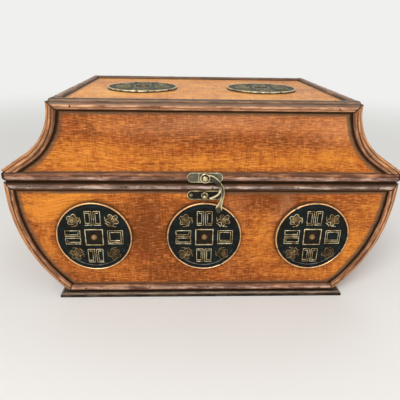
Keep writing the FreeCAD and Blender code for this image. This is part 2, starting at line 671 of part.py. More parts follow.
def latch_rivet():
    """Domed rivet that the hook turns on, set in the plate."""
    seat = Vector(0, HOOK_BACK_Y - HOOK_THICK - HOOK_PLAY, PIVOT_Z)
    length = LATCH_PLATE_THICK + HOOK_THICK + 2 * HOOK_PLAY
    return dome_nail(seat, FRONT, RIVET_HEAD_RADIUS, RIVET_HEAD_DOME, RIVET_RADIUS, length)


# --- hinges ------------------------------------------------------------------------------
KNUCKLE_LENGTH = (HINGE_LENGTH - 2 * KNUCKLE_GAP) / 3
LEAF_NAIL_LENGTH = HINGE_LEAF_THICK + NAIL_GRIP


def leaf_levels(up, inner, outer):
    """Two heights, lowest first, at distances from the axis: `up` is 1 on the lid, -1 on the tray."""
    return sorted((HINGE_Z + up * inner, HINGE_Z + up * outer))


def hinge_leaf(x, up, knuckles):
    """One leaf of a butt hinge let into the rims: `up` is 1 on the lid and -1 on the tray."""
    axis = Vector(x - HINGE_LENGTH / 2, HINGE_Y, HINGE_Z)
    low, high = leaf_levels(up, HINGE_KNUCKLE_RADIUS - HINGE_LEAF_THICK, HINGE_KNUCKLE_RADIUS)
    sheet = box(Vector(axis.x, HINGE_Y - HINGE_LEAF_DEPTH, low),
                Vector(axis.x + HINGE_LENGTH, HINGE_Y, high))
    pitch = KNUCKLE_LENGTH + KNUCKLE_GAP
    room_radius = HINGE_KNUCKLE_RADIUS + KNUCKLE_GAP
    room_length = KNUCKLE_LENGTH + 2 * KNUCKLE_GAP
    barrels = []
    for index in range(3):
        start = axis + RIGHT * (pitch * index)
        if index in knuckles:
            barrels.append(Part.makeCylinder(HINGE_KNUCKLE_RADIUS, KNUCKLE_LENGTH, start, RIGHT))
        else:
            room = Part.makeCylinder(room_radius, room_length, start - RIGHT * KNUCKLE_GAP, RIGHT)
            sheet = sheet.cut(room)
    leaf = sheet.fuse(barrels).removeSplitter()
    bore = Part.makeCylinder(HINGE_PIN_RADIUS + RUNNING_CLEARANCE, HINGE_LENGTH, axis, RIGHT)
    return cut_all(leaf, [bore] + small_holes(leaf_nail_seats(x, up), UP * -up, LEAF_NAIL_LENGTH))


def leaf_nail_seats(x, up):
    """Where the two nails of a hinge leaf sit, on the face that the other leaf closes on."""
    middle_y = (FACE_Y + INNER_Y) / 2
    level = HINGE_Z + up * (HINGE_KNUCKLE_RADIUS - HINGE_LEAF_THICK)
    return [Vector(x + side * LEAF_NAIL_PITCH / 2, middle_y, level) for side in (-1, 1)]


def hinge_pin(x):
    """Plain pin through a hinge's knuckles."""
    start = Vector(x - HINGE_LENGTH / 2, HINGE_Y, HINGE_Z)
    return Part.makeCylinder(HINGE_PIN_RADIUS, HINGE_LENGTH, start, RIGHT)


def hinge_recess(x, up):
    """Tool that lets a leaf into a rim, and the knuckle between the back mouldings."""
    half = HINGE_LENGTH / 2 + LEAF_PLAY
    low, high = leaf_levels(up, 0, HINGE_KNUCKLE_RADIUS)
    sheet = box(Vector(x - half, HINGE_Y - HINGE_LEAF_DEPTH - LEAF_PLAY, low),
                Vector(x + half, HINGE_Y, high))
    start = Vector(x - HINGE_LENGTH / 2 - HINGE_RELIEF, HINGE_Y, HINGE_Z)
    barrel = Part.makeCylinder(HINGE_KNUCKLE_RADIUS + HINGE_RELIEF, HINGE_LENGTH + 2 * HINGE_RELIEF,
                               start, RIGHT)
    return sheet.fuse(barrel)


HINGES = {"left": -HINGE_PITCH / 2, "right": HINGE_PITCH / 2}


def hinge_tools(up):
    """Recesses and nail holes of both hinges, for the wood above or below the seam."""
    tools = []
    for x in HINGES.values():
        tools.append(hinge_recess(x, up))
        tools += small_holes(leaf_nail_seats(x, up), UP * -up, LEAF_NAIL_LENGTH)
    return tools


# --- the whole chest ---------------------------------------------------------------------
def board_nodes():
    """The eleven boards, with the holes and recesses that the brass needs."""
    tray_face = tray_face_board()
    lid_face = lid_face_board()
    front_coin_holes = [placed(coin_hole(), front_placement(x)) for x in FRONT_COINS.values()]
    catch_holes = small_holes(catch_nail_seats(), FRONT, CATCH_NAIL_LENGTH)
    latch_holes = small_holes(latch_nail_seats(), FRONT, LATCH_NAIL_LENGTH)
    top_coin_holes = [placed(coin_hole(), top_placement(x)) for x in TOP_COINS.values()]
    tray_end = tray_end_board()
    lid_end = lid_end_board()
    return {
        "base_plinth": plinth(),
        "tray_floor": tray_floor(),
        "tray_front_board": cut_all(tray_face, front_coin_holes + catch_holes),
        "tray_back_board": cut_all(mirrored(tray_face, BACK), hinge_tools(-1)),
        "tray_left_end_board": mirrored(tray_end, RIGHT),
        "tray_right_end_board": tray_end,
        "lid_front_board": cut_all(lid_face, latch_holes),
        "lid_back_board": cut_all(mirrored(lid_face, BACK), hinge_tools(1)),
        "lid_left_end_board": mirrored(lid_end, RIGHT),
        "lid_right_end_board": lid_end,
        "lid_top_board": cut_all(lid_top_board(), top_coin_holes),
    }


def moulding_nodes(tray_end_boards, lid_end_boards):
    """Mouldings of all nine faces, grouped where a pair is one shape and its reflection."""
    rim, foot, side = tray_front_strips()
    crown, lid_rim, lid_side = lid_front_strips()
    end_rim, end_foot, end_sides = tray_end_strips(tray_end_boards)
    lid_end_crown, lid_end_rim, lid_end_sides = lid_end_strips(lid_end_boards)
    sides = group([side, mirrored(side, RIGHT)])
    lid_sides = group([lid_side, mirrored(lid_side, RIGHT)])
    latch_holes = small_holes(latch_nail_seats(), FRONT, LATCH_NAIL_LENGTH)
    top_long, top_short = top_strips()
    return {
        "tray_front_rim_strip": rim,
        "tray_front_foot_strip": foot,
        "tray_front_side_strips": sides,
        "tray_back_rim_strip": cut_all(mirrored(rim, BACK), hinge_tools(-1)),
        "tray_back_foot_strip": mirrored(foot, BACK),
        "tray_back_side_strips": mirrored(sides, BACK),
        "tray_left_rim_strip": mirrored(end_rim, RIGHT),
        "tray_left_foot_strip": mirrored(end_foot, RIGHT),
        "tray_left_side_strips": mirrored(end_sides, RIGHT),
        "tray_right_rim_strip": end_rim,
        "tray_right_foot_strip": end_foot,
        "tray_right_side_strips": end_sides,
        "lid_front_crown_strip": crown,
        "lid_front_rim_strip": cut_all(lid_rim, latch_holes),
        "lid_front_side_strips": lid_sides,
        "lid_back_crown_strip": mirrored(crown, BACK),
        "lid_back_rim_strip": cut_all(mirrored(lid_rim, BACK), hinge_tools(1)),
        "lid_back_side_strips": mirrored(lid_sides, BACK),
        "lid_left_crown_strip": mirrored(lid_end_crown, RIGHT),
        "lid_left_rim_strip": mirrored(lid_end_rim, RIGHT),
        "lid_left_side_strips": mirrored(lid_end_sides, RIGHT),
        "lid_right_crown_strip": lid_end_crown,
        "lid_right_rim_strip": lid_end_rim,
        "lid_right_side_strips": lid_end_sides,
        "lid_top_long_strips": top_long,
        "lid_top_short_strips": top_short,
    }


def medallion_nodes():
    """Three medallions on the tray's front, two on the lid's top, and their nails."""
    nodes = {}
    for name, x in FRONT_COINS.items():
        nodes[f"front_{name}_medallion"] = placed(medallion(), front_placement(x))
    for name, x in TOP_COINS.items():
        nodes[f"top_{name}_medallion"] = placed(medallion(), top_placement(x))
    nodes["front_medallion_nails"] = group([placed(coin_nail(), front_placement(x))
                                            for x in FRONT_COINS.values()])
    nodes["top_medallion_nails"] = group([placed(coin_nail(), top_placement(x))
                                          for x in TOP_COINS.values()])
    return nodes


def latch_nodes():
    """Hook, its plate and rivet on the lid; catch plate and post on the tray."""
    return {
        "latch_plate": latch_plate(),
        "latch_hook": latch_hook(),
        "latch_rivet": latch_rivet(),
        "latch_plate_nails": small_nails(latch_nail_seats(), FRONT, LATCH_NAIL_LENGTH),
        "catch_plate": catch_plate(),
        "catch_post": catch_post(),
        "catch_plate_nails": small_nails(catch_nail_seats(), FRONT, CATCH_NAIL_LENGTH),
    }


def hinge_nodes():
    """Two butt hinges on the back: leaves, pins and nails."""
    nodes = {}
    for name, x in HINGES.items():
        nodes[f"{name}_hinge_lid_leaf"] = hinge_leaf(x, 1, (1,))
        nodes[f"{name}_hinge_tray_leaf"] = hinge_leaf(x, -1, (0, 2))
        nodes[f"{name}_hinge_pin"] = hinge_pin(x)
    for body, up in (("lid", 1), ("tray", -1)):
        seats = [seat for x in HINGES.values() for seat in leaf_nail_seats(x, up)]
        nodes[f"hinge_{body}_nails"] = small_nails(seats, UP * -up, LEAF_NAIL_LENGTH, LEAF_NAIL_DOME)
    return nodes


def main():
    """Build every node and write it to its own file."""
    os.makedirs("parts", exist_ok=True)
    nodes = board_nodes()
    tray_end_boards = [nodes["tray_right_end_board"]]
    lid_end_boards = [nodes["lid_right_end_board"], nodes["lid_top_board"]]
    nodes.update(moulding_nodes(tray_end_boards, lid_end_boards))
    nodes.update(medallion_nodes())
    nodes.update(latch_nodes())
    nodes.update(hinge_nodes())
    for name, shape in nodes.items():
        shape.exportStep(f"parts/{name}.step")
        print(name, len(shape.Solids), "solids", round(shape.Volume, 1), "mm3", shape.isValid())


main()
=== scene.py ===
"""Finishes, mouldings and brass of a hinged keepsake chest, made around its construction.

Metres, +Z up.  The origin is the middle of the plinth's underside, +X is to the right of someone
who faces the latch, and the latch is on the -Y side.
"""
import logging
import math
from collections.abc import Callable, Iterable, Sequence
from dataclasses import dataclass, replace
from enum import Enum
from random import Random
from typing import NamedTuple

import bmesh
import bpy
from mathutils import Matrix, Vector, noise

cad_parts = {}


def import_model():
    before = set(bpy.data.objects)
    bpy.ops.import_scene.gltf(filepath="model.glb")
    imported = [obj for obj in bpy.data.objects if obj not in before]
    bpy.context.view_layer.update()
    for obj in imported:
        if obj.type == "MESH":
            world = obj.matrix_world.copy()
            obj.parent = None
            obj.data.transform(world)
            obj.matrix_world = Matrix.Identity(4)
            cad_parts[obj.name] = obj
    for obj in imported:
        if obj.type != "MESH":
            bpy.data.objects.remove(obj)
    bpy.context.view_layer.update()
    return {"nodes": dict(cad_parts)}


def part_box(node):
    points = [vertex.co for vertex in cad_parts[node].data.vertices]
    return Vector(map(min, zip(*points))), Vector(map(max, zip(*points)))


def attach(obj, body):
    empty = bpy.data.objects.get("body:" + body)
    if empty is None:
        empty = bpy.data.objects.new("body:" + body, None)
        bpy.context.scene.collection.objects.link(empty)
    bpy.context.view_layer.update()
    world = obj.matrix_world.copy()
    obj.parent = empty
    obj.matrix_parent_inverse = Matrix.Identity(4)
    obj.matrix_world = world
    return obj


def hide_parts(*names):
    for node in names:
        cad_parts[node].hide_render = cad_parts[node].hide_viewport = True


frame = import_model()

LOG = logging.getLogger("keepsake_chest")
MM = 0.001
RIGHT = Vector((1.0, 0.0, 0.0))
BACK = Vector((0.0, 1.0, 0.0))
UP = Vector((0.0, 0.0, 1.0))

Shade = tuple[int, int, int]
Pair = tuple[float, float]
Row = tuple[float, ...]
Corner = tuple[Vector, Row]
Stroke = tuple[list[Pair], bool]


class Body(Enum):
    """Moving bodies of the chest."""

    TRAY = "tray"
    LID = "lid"
    HOOK = "hook"


class Slot(Enum):
    """Material slots of the record."""

    DARK = "dark_wood"
    COIN = "coin_metal"
    BRASS = "antique_brass"


class Grain(Enum):
    """Direction that a board's fibres run in."""

    ALONG_X = "x"
    ALONG_Y = "y"


def paint(shade: Shade) -> Row:
    """Give a display colour of 0 to 255 per channel as a linear, opaque one.

    Args:
        shade: Its red, green and blue.

    Returns:
        The linear colour.
    """
    shares = [channel / 255 for channel in shade]
    return *(one / 12.92 if one <= 0.04045 else ((one + 0.055) / 1.055) ** 2.4 for one in shares), 1.0


def extent(node: str) -> tuple[Vector, Vector]:
    """Middle of a construction node, and half its size."""
    low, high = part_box(node)
    return (low + high) / 2, (high - low) / 2


# --- node maths --------------------------------------------------------------------------
class Value:
    """Output socket of a node; Python's operators add Math nodes behind it."""

    def __init__(self, graph: "Graph", socket: bpy.types.NodeSocket) -> None:
        """Keep the socket and the graph it belongs to."""
        self.graph = graph
        self.socket = socket

    def __add__(self, other: "Value | float") -> "Value":
        """Sum."""
        return self.graph.math("ADD", self, other)

    def __sub__(self, other: "Value | float") -> "Value":
        """Difference."""
        return self.graph.math("SUBTRACT", self, other)

    def __rsub__(self, other: float) -> "Value":
        """Difference from a number."""
        return self.graph.math("SUBTRACT", other, self)

    def __mul__(self, other: "Value | float") -> "Value":
        """Product."""
        return self.graph.math("MULTIPLY", self, other)

    def __truediv__(self, other: "Value | float") -> "Value":
        """Quotient."""
        return self.graph.math("DIVIDE", self, other)

    def __pow__(self, power: float) -> "Value":
        """Power."""
        return self.graph.math("POWER", self, power)

    def __abs__(self) -> "Value":
        """Size without sign."""
        return self.graph.math("ABSOLUTE", self)

    __radd__ = __add__
    __rmul__ = __mul__

    def least(self, other: "Value | float") -> "Value":
        """Smaller of two values."""
        return self.graph.math("MINIMUM", self, other)

    def most(self, other: "Value | float") -> "Value":
        """Larger of two values."""
        return self.graph.math("MAXIMUM", self, other)

    def above(self, limit: float) -> "Value":
        """One where the value is over a limit, and zero elsewhere."""
        return self.graph.math("GREATER_THAN", self, limit)

    def fading(self, reach: float) -> "Value":
        """One at zero, falling to about a third at `reach` and on towards nothing."""
        return self.graph.math("EXPONENT", self.most(0.0) * (-1 / reach))

    def rise(self, low: float, high: float, bottom: float = 0.0, top: float = 1.0) -> "Value":
        """Pass smoothly from one level to another between two values.

        Args:
            low: Value where the rise starts.
            high: Value where the rise ends.
            bottom: Level before the rise.
            top: Level after it.

        Returns:
            The level.
        """
        limits = {"Value": self, "From Min": low, "From Max": high, "To Min": bottom, "To Max": top}
        return self.graph.add("MapRange", {"interpolation_type": "SMOOTHSTEP"}, limits)

    def peer(self, name: str) -> "Value":
        """Another output of the same node."""
        return Value(self.graph, self.socket.node.outputs[name])


Gauge = Callable[[Value, Value, Value], Value]


class Graph:
    """Node tree of a material or of the surroundings."""

    def __init__(self, name: str, surroundings: bool = False) -> None:
        """Start an empty tree.

        Args:
            name: Name of the material or of the surroundings.
            surroundings: Whether it is the tree of the surroundings.
        """
        self.owner = (bpy.data.worlds if surroundings else bpy.data.materials).new(name)
        self.last = "ShaderNodeOutputWorld" if surroundings else "ShaderNodeOutputMaterial"
        self.owner.use_nodes = True
        self.tree = self.owner.node_tree
        self.tree.nodes.clear()

    def add(self, kind: str, settings: dict | None = None, inputs: dict | None = None,
            output: int | str = 0) -> Value:
        """Add a node.

        Args:
            kind: Node type without its common prefix.
            settings: Properties of the node, set first; `stops` are a ramp's (place, shade).
            inputs: Values or links of its sockets, by name or number.
            output: Output to hand back.

        Returns:
            The chosen output.
        """
        node = self.tree.nodes.new("ShaderNode" + kind)
        for name, setting in (settings or {}).items():
            if name == "stops":
                for place, shade in setting[1:-1]:
                    node.color_ramp.elements.new(place).color = paint(shade)
                for index in (0, -1):
                    node.color_ramp.elements[index].position = setting[index][0]
                    node.color_ramp.elements[index].color = paint(setting[index][1])
            else:
                setattr(node, name, setting)
        for key, given in (inputs or {}).items():
            if isinstance(given, Value):
                self.tree.links.new(given.socket, node.inputs[key])
            else:
                node.inputs[key].default_value = given
        return Value(self, node.outputs[output])

    def math(self, operation: str, *operands: Value | float) -> Value:
        """Math node on its operands."""
        return self.add("Math", {"operation": operation}, dict(enumerate(operands)))

    def mix(self, share: Value | float, first: Value | Shade, second: Value | Shade) -> Value:
        """Mix two colours, with `share` of the second."""
        ends = [one if isinstance(one, Value) else paint(one) for one in (first, second)]
        return self.add("Mix", {"data_type": "RGBA"}, {0: share, 6: ends[0], 7: ends[1]}, 2)

    def place(self) -> tuple[Value, Value, Value]:
        """X, Y and Z of the surface point, fixed to the piece."""
        split = self.add("SeparateXYZ", inputs={0: self.add("TexCoord", output="Object")})
        return split, split.peer("Y"), split.peer("Z")

    def upward(self) -> Value:
        """Upward part of the surface's direction, fixed to the piece."""
        return self.add("SeparateXYZ", inputs={0: self.add("TexCoord", output="Normal")}, output="Z")

    def mark(self, name: str) -> Value:
        """Number kept at the mesh's corners."""
        return self.add("Attribute", {"attribute_name": name}, output="Fac")

    def vector(self, x: Value | float, y: Value | float, z: Value | float) -> Value:
        """Vector of three parts."""
        return self.add("CombineXYZ", inputs={0: x, 1: y, 2: z})

    def noise(self, spot: Value, size: float, detail: float = 2.0, rough: float = 0.5) -> Value:
        """Cloudy noise from 0 to 1.

        Args:
            spot: Where it is read.
            size: Size of its larger features, in metres.
            detail: Number of finer layers.
            rough: Strength of the finer layers.

        Returns:
            The noise.
        """
        inputs = {"Vector": spot, "Scale": 1 / size, "Detail": detail, "Roughness": rough}
        return self.add("TexNoise", inputs=inputs)

    def bump(self, height: Value) -> Value:
        """Surface direction after a height in metres."""
        return self.add("Bump", inputs={"Strength": 1.0, "Distance": 1.0, "Height": height})

    def surface(self, inputs: dict) -> Value:
        """Principled surface with the given sockets."""
        return self.add("BsdfPrincipled", inputs=inputs)

    def end(self, surface: Value) -> bpy.types.Material | bpy.types.World:
        """End the tree in a surface and give what it belongs to."""
        self.tree.links.new(surface.socket, self.tree.nodes.new(self.last).inputs["Surface"])
        return self.owner


# --- meshes ------------------------------------------------------------------------------
def show(name: str, data: bpy.types.ID) -> bpy.types.Object:
    """Put a mesh, lamp or camera in the scene.

    Args:
        name: Its name.
        data: The mesh, lamp or camera.

    Returns:
        The object that holds it.
    """
    made = bpy.data.objects.new(name, data)
    bpy.context.scene.collection.objects.link(made)
    return made


class Shape:
    """Mesh being put together, with named numbers kept at each corner."""

    def __init__(self, *marks: str) -> None:
        """Start an empty mesh.

        Args:
            marks: Names of the numbers kept at each corner.
        """
        self.marks = marks
        self.points: list[Vector] = []
        self.values: list[Row] = []
        self.faces: list[tuple[int, ...]] = []

    def sheet(self, rows: Sequence[Sequence[Corner]], caps: bool = True) -> None:
        """Skin closed rows of corners, each joined to the next.

        Args:
            rows: Rows of equal length.
            caps: Whether the first and last rows are filled.
        """
        start, count = len(self.points), len(rows[0])
        for row in rows:
            for point, values in row:
                self.points.append(point)
                self.values.append(values)
        last = start + (len(rows) - 1) * count
        for low in range(start, last, count):
            for here in range(count):
                there = (here + 1) % count
                self.faces.append((low + here, low + there, low + count + there, low + count + here))
        if caps:
            self.faces.append(tuple(range(start, start + count)))
            self.faces.append(tuple(range(last, last + count)))

    def reflect(self, axis: int) -> None:
        """Add a mirror image of all that is there.

        Args:
            axis: Axis that the mirror's plane is normal to.
        """
        count = len(self.points)
        for point, values in zip(self.points[:count], self.values[:count]):
            image = point.copy()
            image[axis] = -image[axis]
            self.points.append(image)
            self.values.append(values)
        self.faces += [tuple(corner + count for corner in face) for face in self.faces]

    def flip(self, axis: int) -> None:
        """Turn the whole mesh into its mirror image across the plane normal to an axis."""
        for point in self.points:
            point[axis] = -point[axis]

    def piece(self, name: str, finish: bpy.types.Material, body: Body, slot: Slot,
              nodes: Iterable[str] = (), sharp: float = 38.0) -> None:
        """Make the mesh into a piece of the chest.

        Args:
            name: Piece's name.
            finish: Its material.
            body: Body that it rides on.
            slot: Record slot that it takes its finish from; not used.
            nodes: Construction nodes that it stands for.
            sharp: Edges that turn by more degrees than this stay sharp.
        """
        mesh = bpy.data.meshes.new(name)
        mesh.from_pydata(self.points, [], self.faces)
        for index, mark in enumerate(self.marks):
            layer = mesh.attributes.new(mark, "FLOAT", "POINT")
            layer.data.foreach_set("value", [values[index] for values in self.values])
        tidy = bmesh.new()
        tidy.from_mesh(mesh)
        bmesh.ops.remove_doubles(tidy, verts=tidy.verts, dist=0.002 * MM)
        bmesh.ops.dissolve_degenerate(tidy, edges=tidy.edges, dist=0.001 * MM)
        bmesh.ops.recalc_face_normals(tidy, faces=tidy.faces)
        tidy.to_mesh(mesh)
        tidy.free()
        mesh.shade_smooth()
        mesh.set_sharp_from_angle(angle=math.radians(sharp))
        mesh.materials.append(finish)
        made = show(name, mesh)
        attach(made, body.value)
        if nodes:
            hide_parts(*nodes)
        LOG.info("%s: %d faces on %s", name, len(mesh.polygons), body.value)


def dress(node: str, finish: bpy.types.Material) -> None:
    """Give a construction node its finish.

    Args:
        node: Node's name.
        finish: Its material.
    """
    slots = frame["nodes"][node].data.materials
    slots.clear()
    slots.append(finish)
    LOG.info("%s: %s", node, finish.name)


class Seat(NamedTuple):
    """Flat place that a fitting is drawn on, in millimetres right, up and out from a point."""

    origin: Vector
    right: Vector = RIGHT
    up: Vector = UP
    out: Vector = -BACK

    def at(self, right: float, up: float, out: float = 0.0) -> Vector:
        """Point given by its distances along the three directions."""
        return self.origin + (self.right * right + self.up * up + self.out * out) * MM


def lathe(shape: Shape, seat: Seat, profile: Iterable[Row], sides: int, middle: float = 0.0,
          half_length: float = 0.0) -> None:
    """Turn a profile about the seat's outward direction, or round a straight slot, in millimetres.

    Args:
        shape: Mesh that it is added to.
        seat: Seat it stands on.
        profile: Rows of radius, height and then the marks of that row.
        sides: Corners of each row.
        middle: How far right the axis is.
        half_length: Half the straight part between two half-round ends.
    """
    turns = [2 * math.pi * (index + 0.5) / sides for index in range(sides)]
    shape.sheet([[(seat.at(middle + radius * math.cos(turn) + math.copysign(half_length, math.cos(turn)),
                           radius * math.sin(turn), height), tuple(marks)) for turn in turns]
                 for radius, height, *marks in profile])


def dome(radius: float, base: float, height: float, wear: Pair, steps: int = 8,
         start: float = 0.0) -> list[Row]:
    """Profile of a dome, from its edge to its top.

    Args:
        radius: Its radius.
        base: Height of its widest place.
        height: Height of its top over that.
        wear: Wear at its edge and at its top.
        steps: Rows after the first.
        start: Angle that it starts from.

    Returns:
        Rows of radius, height and wear.
    """
    rows = []
    for index in range(steps + 1):
        share = index / steps
        angle = start + (math.pi / 2 - start) * share
        rows.append((radius * math.cos(angle), base + height * math.sin(angle),
                     wear[0] + (wear[1] - wear[0]) * share))
    return rows


# --- sizes taken from the construction ----------------------------------------------------
@dataclass(frozen=True)
class Bulge:
    """Rounded end of the tray, one arc in the XZ plane, seen on the +X side."""

    centre: Vector
    radius: float
    low: float
    high: float

    def angle(self, height: float) -> float:
        """Angle on the arc at a height."""
        return math.asin((height - self.centre.z) / self.radius)

    def half_width(self, height: float, inset: float = 0.0) -> float:
        """Half-width at a height, `inset` inside the outline."""
        return self.centre.x + math.sqrt((self.radius - inset) ** 2 - (height - self.centre.z) ** 2)

    @property
    def length(self) -> float:
        """Length of the whole curve."""
        return self.radius * (self.angle(self.high) - self.angle(self.low))

    def run(self, distance: float) -> tuple[Vector, Vector]:
        """Point and inward direction at a distance up the curve.

        Args:
            distance: Distance from its foot.

        Returns:
            The point and the direction.
        """
        angle = self.angle(self.low) + distance / self.radius
        out = Vector((math.cos(angle), 0.0, math.sin(angle)))
        return self.centre + out * self.radius, -out

    def depth(self, x: Value, z: Value) -> Value:
        """Distance of a surface point inside the outline."""
        return self.radius - ((abs(x) - self.centre.x) ** 2.0 + (z - self.centre.z) ** 2.0) ** 0.5


@dataclass(frozen=True)
class Hollow:
    """Swept end of the lid in the XZ plane, on the +X side: flare, hollow arc, upright land."""

    crown_x: float
    top_z: float
    corner_x: float
    corner_z: float
    land: float = 1.5 * MM
    flare: float = 24.4 * MM

    @property
    def drop(self) -> float:
        """Height of the arc and the flare."""
        return self.top_z - self.land - self.corner_z

    @property
    def turn(self) -> float:
        """Angle of the arc, in radians."""
        return 2 * math.atan2(self.corner_x - self.crown_x, self.drop + self.flare)

    @property
    def radius(self) -> float:
        """Radius of the arc."""
        return (self.drop - self.flare * math.cos(self.turn)) / math.sin(self.turn)

    @property
    def centre(self) -> Vector:
        """Centre of the arc."""
        return Vector((self.crown_x + self.radius, 0.0, self.top_z - self.land))

    @property
    def length(self) -> float:
        """Length of the whole curve."""
        return self.flare + self.radius * self.turn + self.land

    def half_width(self, height: float, inset: float = 0.0) -> float:
        """Half-width at a height on the arc, `inset` inside the outline."""
        return self.centre.x - math.sqrt((self.radius + inset) ** 2 - (height - self.centre.z) ** 2)

    def run(self, distance: float) -> tuple[Vector, Vector]:
        """Point and inward direction at a distance up the curve.

        Args:
            distance: Distance from its foot.

        Returns:
            The point and the direction.
        """
        turn, radius = self.turn, self.radius
        arc = radius * turn
        angle = turn - min(max(distance - self.flare, 0.0), arc) / radius
        inward = Vector((-math.cos(angle), 0.0, -math.sin(angle)))
        point = self.centre + inward * radius
        if distance < self.flare:
            point += Vector((math.sin(turn), 0.0, -math.cos(turn))) * (self.flare - distance)
        if distance > self.flare + arc:
            point += UP * (distance - self.flare - arc)
        return point, inward

    def depth(self, x: Value, z: Value) -> Value:
        """Distance of a surface point inside the outline.

        Args:
            x: Its X.
            z: Its Z.

        Returns:
            The distance.
        """
        cos, sin = math.cos(self.turn), math.sin(self.turn)
        out_x, up_z = abs(x) - self.centre.x, z - self.centre.z
        round_depth = (out_x ** 2.0 + up_z.least(0.0) ** 2.0) ** 0.5 - self.radius
        flat_depth = out_x * -cos + up_z * -sin - self.radius
        return round_depth + (out_x * sin - up_z * cos).above(0.0) * (flat_depth - round_depth)


@dataclass(frozen=True)
class Measures:
    """Sizes of the chest's body, read from the construction or named here."""

    side_width: float = 6.0 * MM
    end_ledge: float = 12.0 * MM
    bulge_radius: float = 140.0 * MM
    band_height: float = 8.6 * MM
    face_y: float = -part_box("tray_front_board")[0].y
    lid_base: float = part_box("lid_front_board")[0].z
    lid_top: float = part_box("lid_front_board")[1].z
    seam_x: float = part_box("lid_front_board")[1].x
    crown_x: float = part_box("lid_top_long_strips")[1].x

    def levels(self, node: str) -> Pair:
        """Lowest and highest height of a construction node."""
        return tuple(corner.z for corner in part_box(node))

    @property
    def proud(self) -> float:
        """How far a moulding stands off its board."""
        return -self.face_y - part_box("tray_front_rim_strip")[0].y

    @property
    def bulge(self) -> Bulge:
        """Curve of the tray's ends.

        Returns:
            The arc through the board's foot and rim.
        """
        foot_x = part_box("base_plinth")[1].x - self.end_ledge
        base, rim = self.levels("tray_front_board")
        run, rise = self.seam_x - foot_x, rim - base
        half = math.hypot(run, rise) / 2
        reach = math.sqrt(self.bulge_radius ** 2 - half ** 2) / (2 * half)
        centre = Vector(((foot_x + self.seam_x) / 2 - rise * reach, 0.0, (base + rim) / 2 + run * reach))
        return Bulge(centre, self.bulge_radius, self.levels("tray_front_foot_strip")[0],
                     self.levels("tray_front_rim_strip")[1])

    @property
    def hollow(self) -> Hollow:
        """Curve of the lid's ends."""
        return Hollow(self.crown_x, self.lid_top, self.seam_x, self.lid_base + self.band_height)


# --- finishes ----------------------------------------------------------------------------
class Patch(NamedTuple):
    """Soft-edged place on a face where the stain took lighter (+) or redder and darker (-), or where a
    painted sheen lies.
    """

    x: float
    z: float
    half_width: float
    half_height: float
    strength: float

    def mask(self, x: Value, z: Value) -> Value:
        """Strength of the patch at a surface point."""
        square = ((x - self.x) / self.half_width) ** 2.0 + ((z - self.z) / self.half_height) ** 2.0
        return square.fading(1.0) * self.strength


@dataclass(frozen=True)
class Board:
    """What sets one board apart from the others of its wood.

    Stain patches, patches of painted sheen, and coins are placed in X and Z, or in X and Y on a flat board.
    """

    grain: Grain = Grain.ALONG_X
    margin: Gauge | None = None
    hidden: Gauge | None = None
    patches: tuple[Patch, ...] = ()
    sheen_patches: tuple[Patch, ...] = ()
    level: float = 0.5
    coins: tuple[Pair, ...] = ()
    coin_radius: float = 0.0
    flat: bool = False


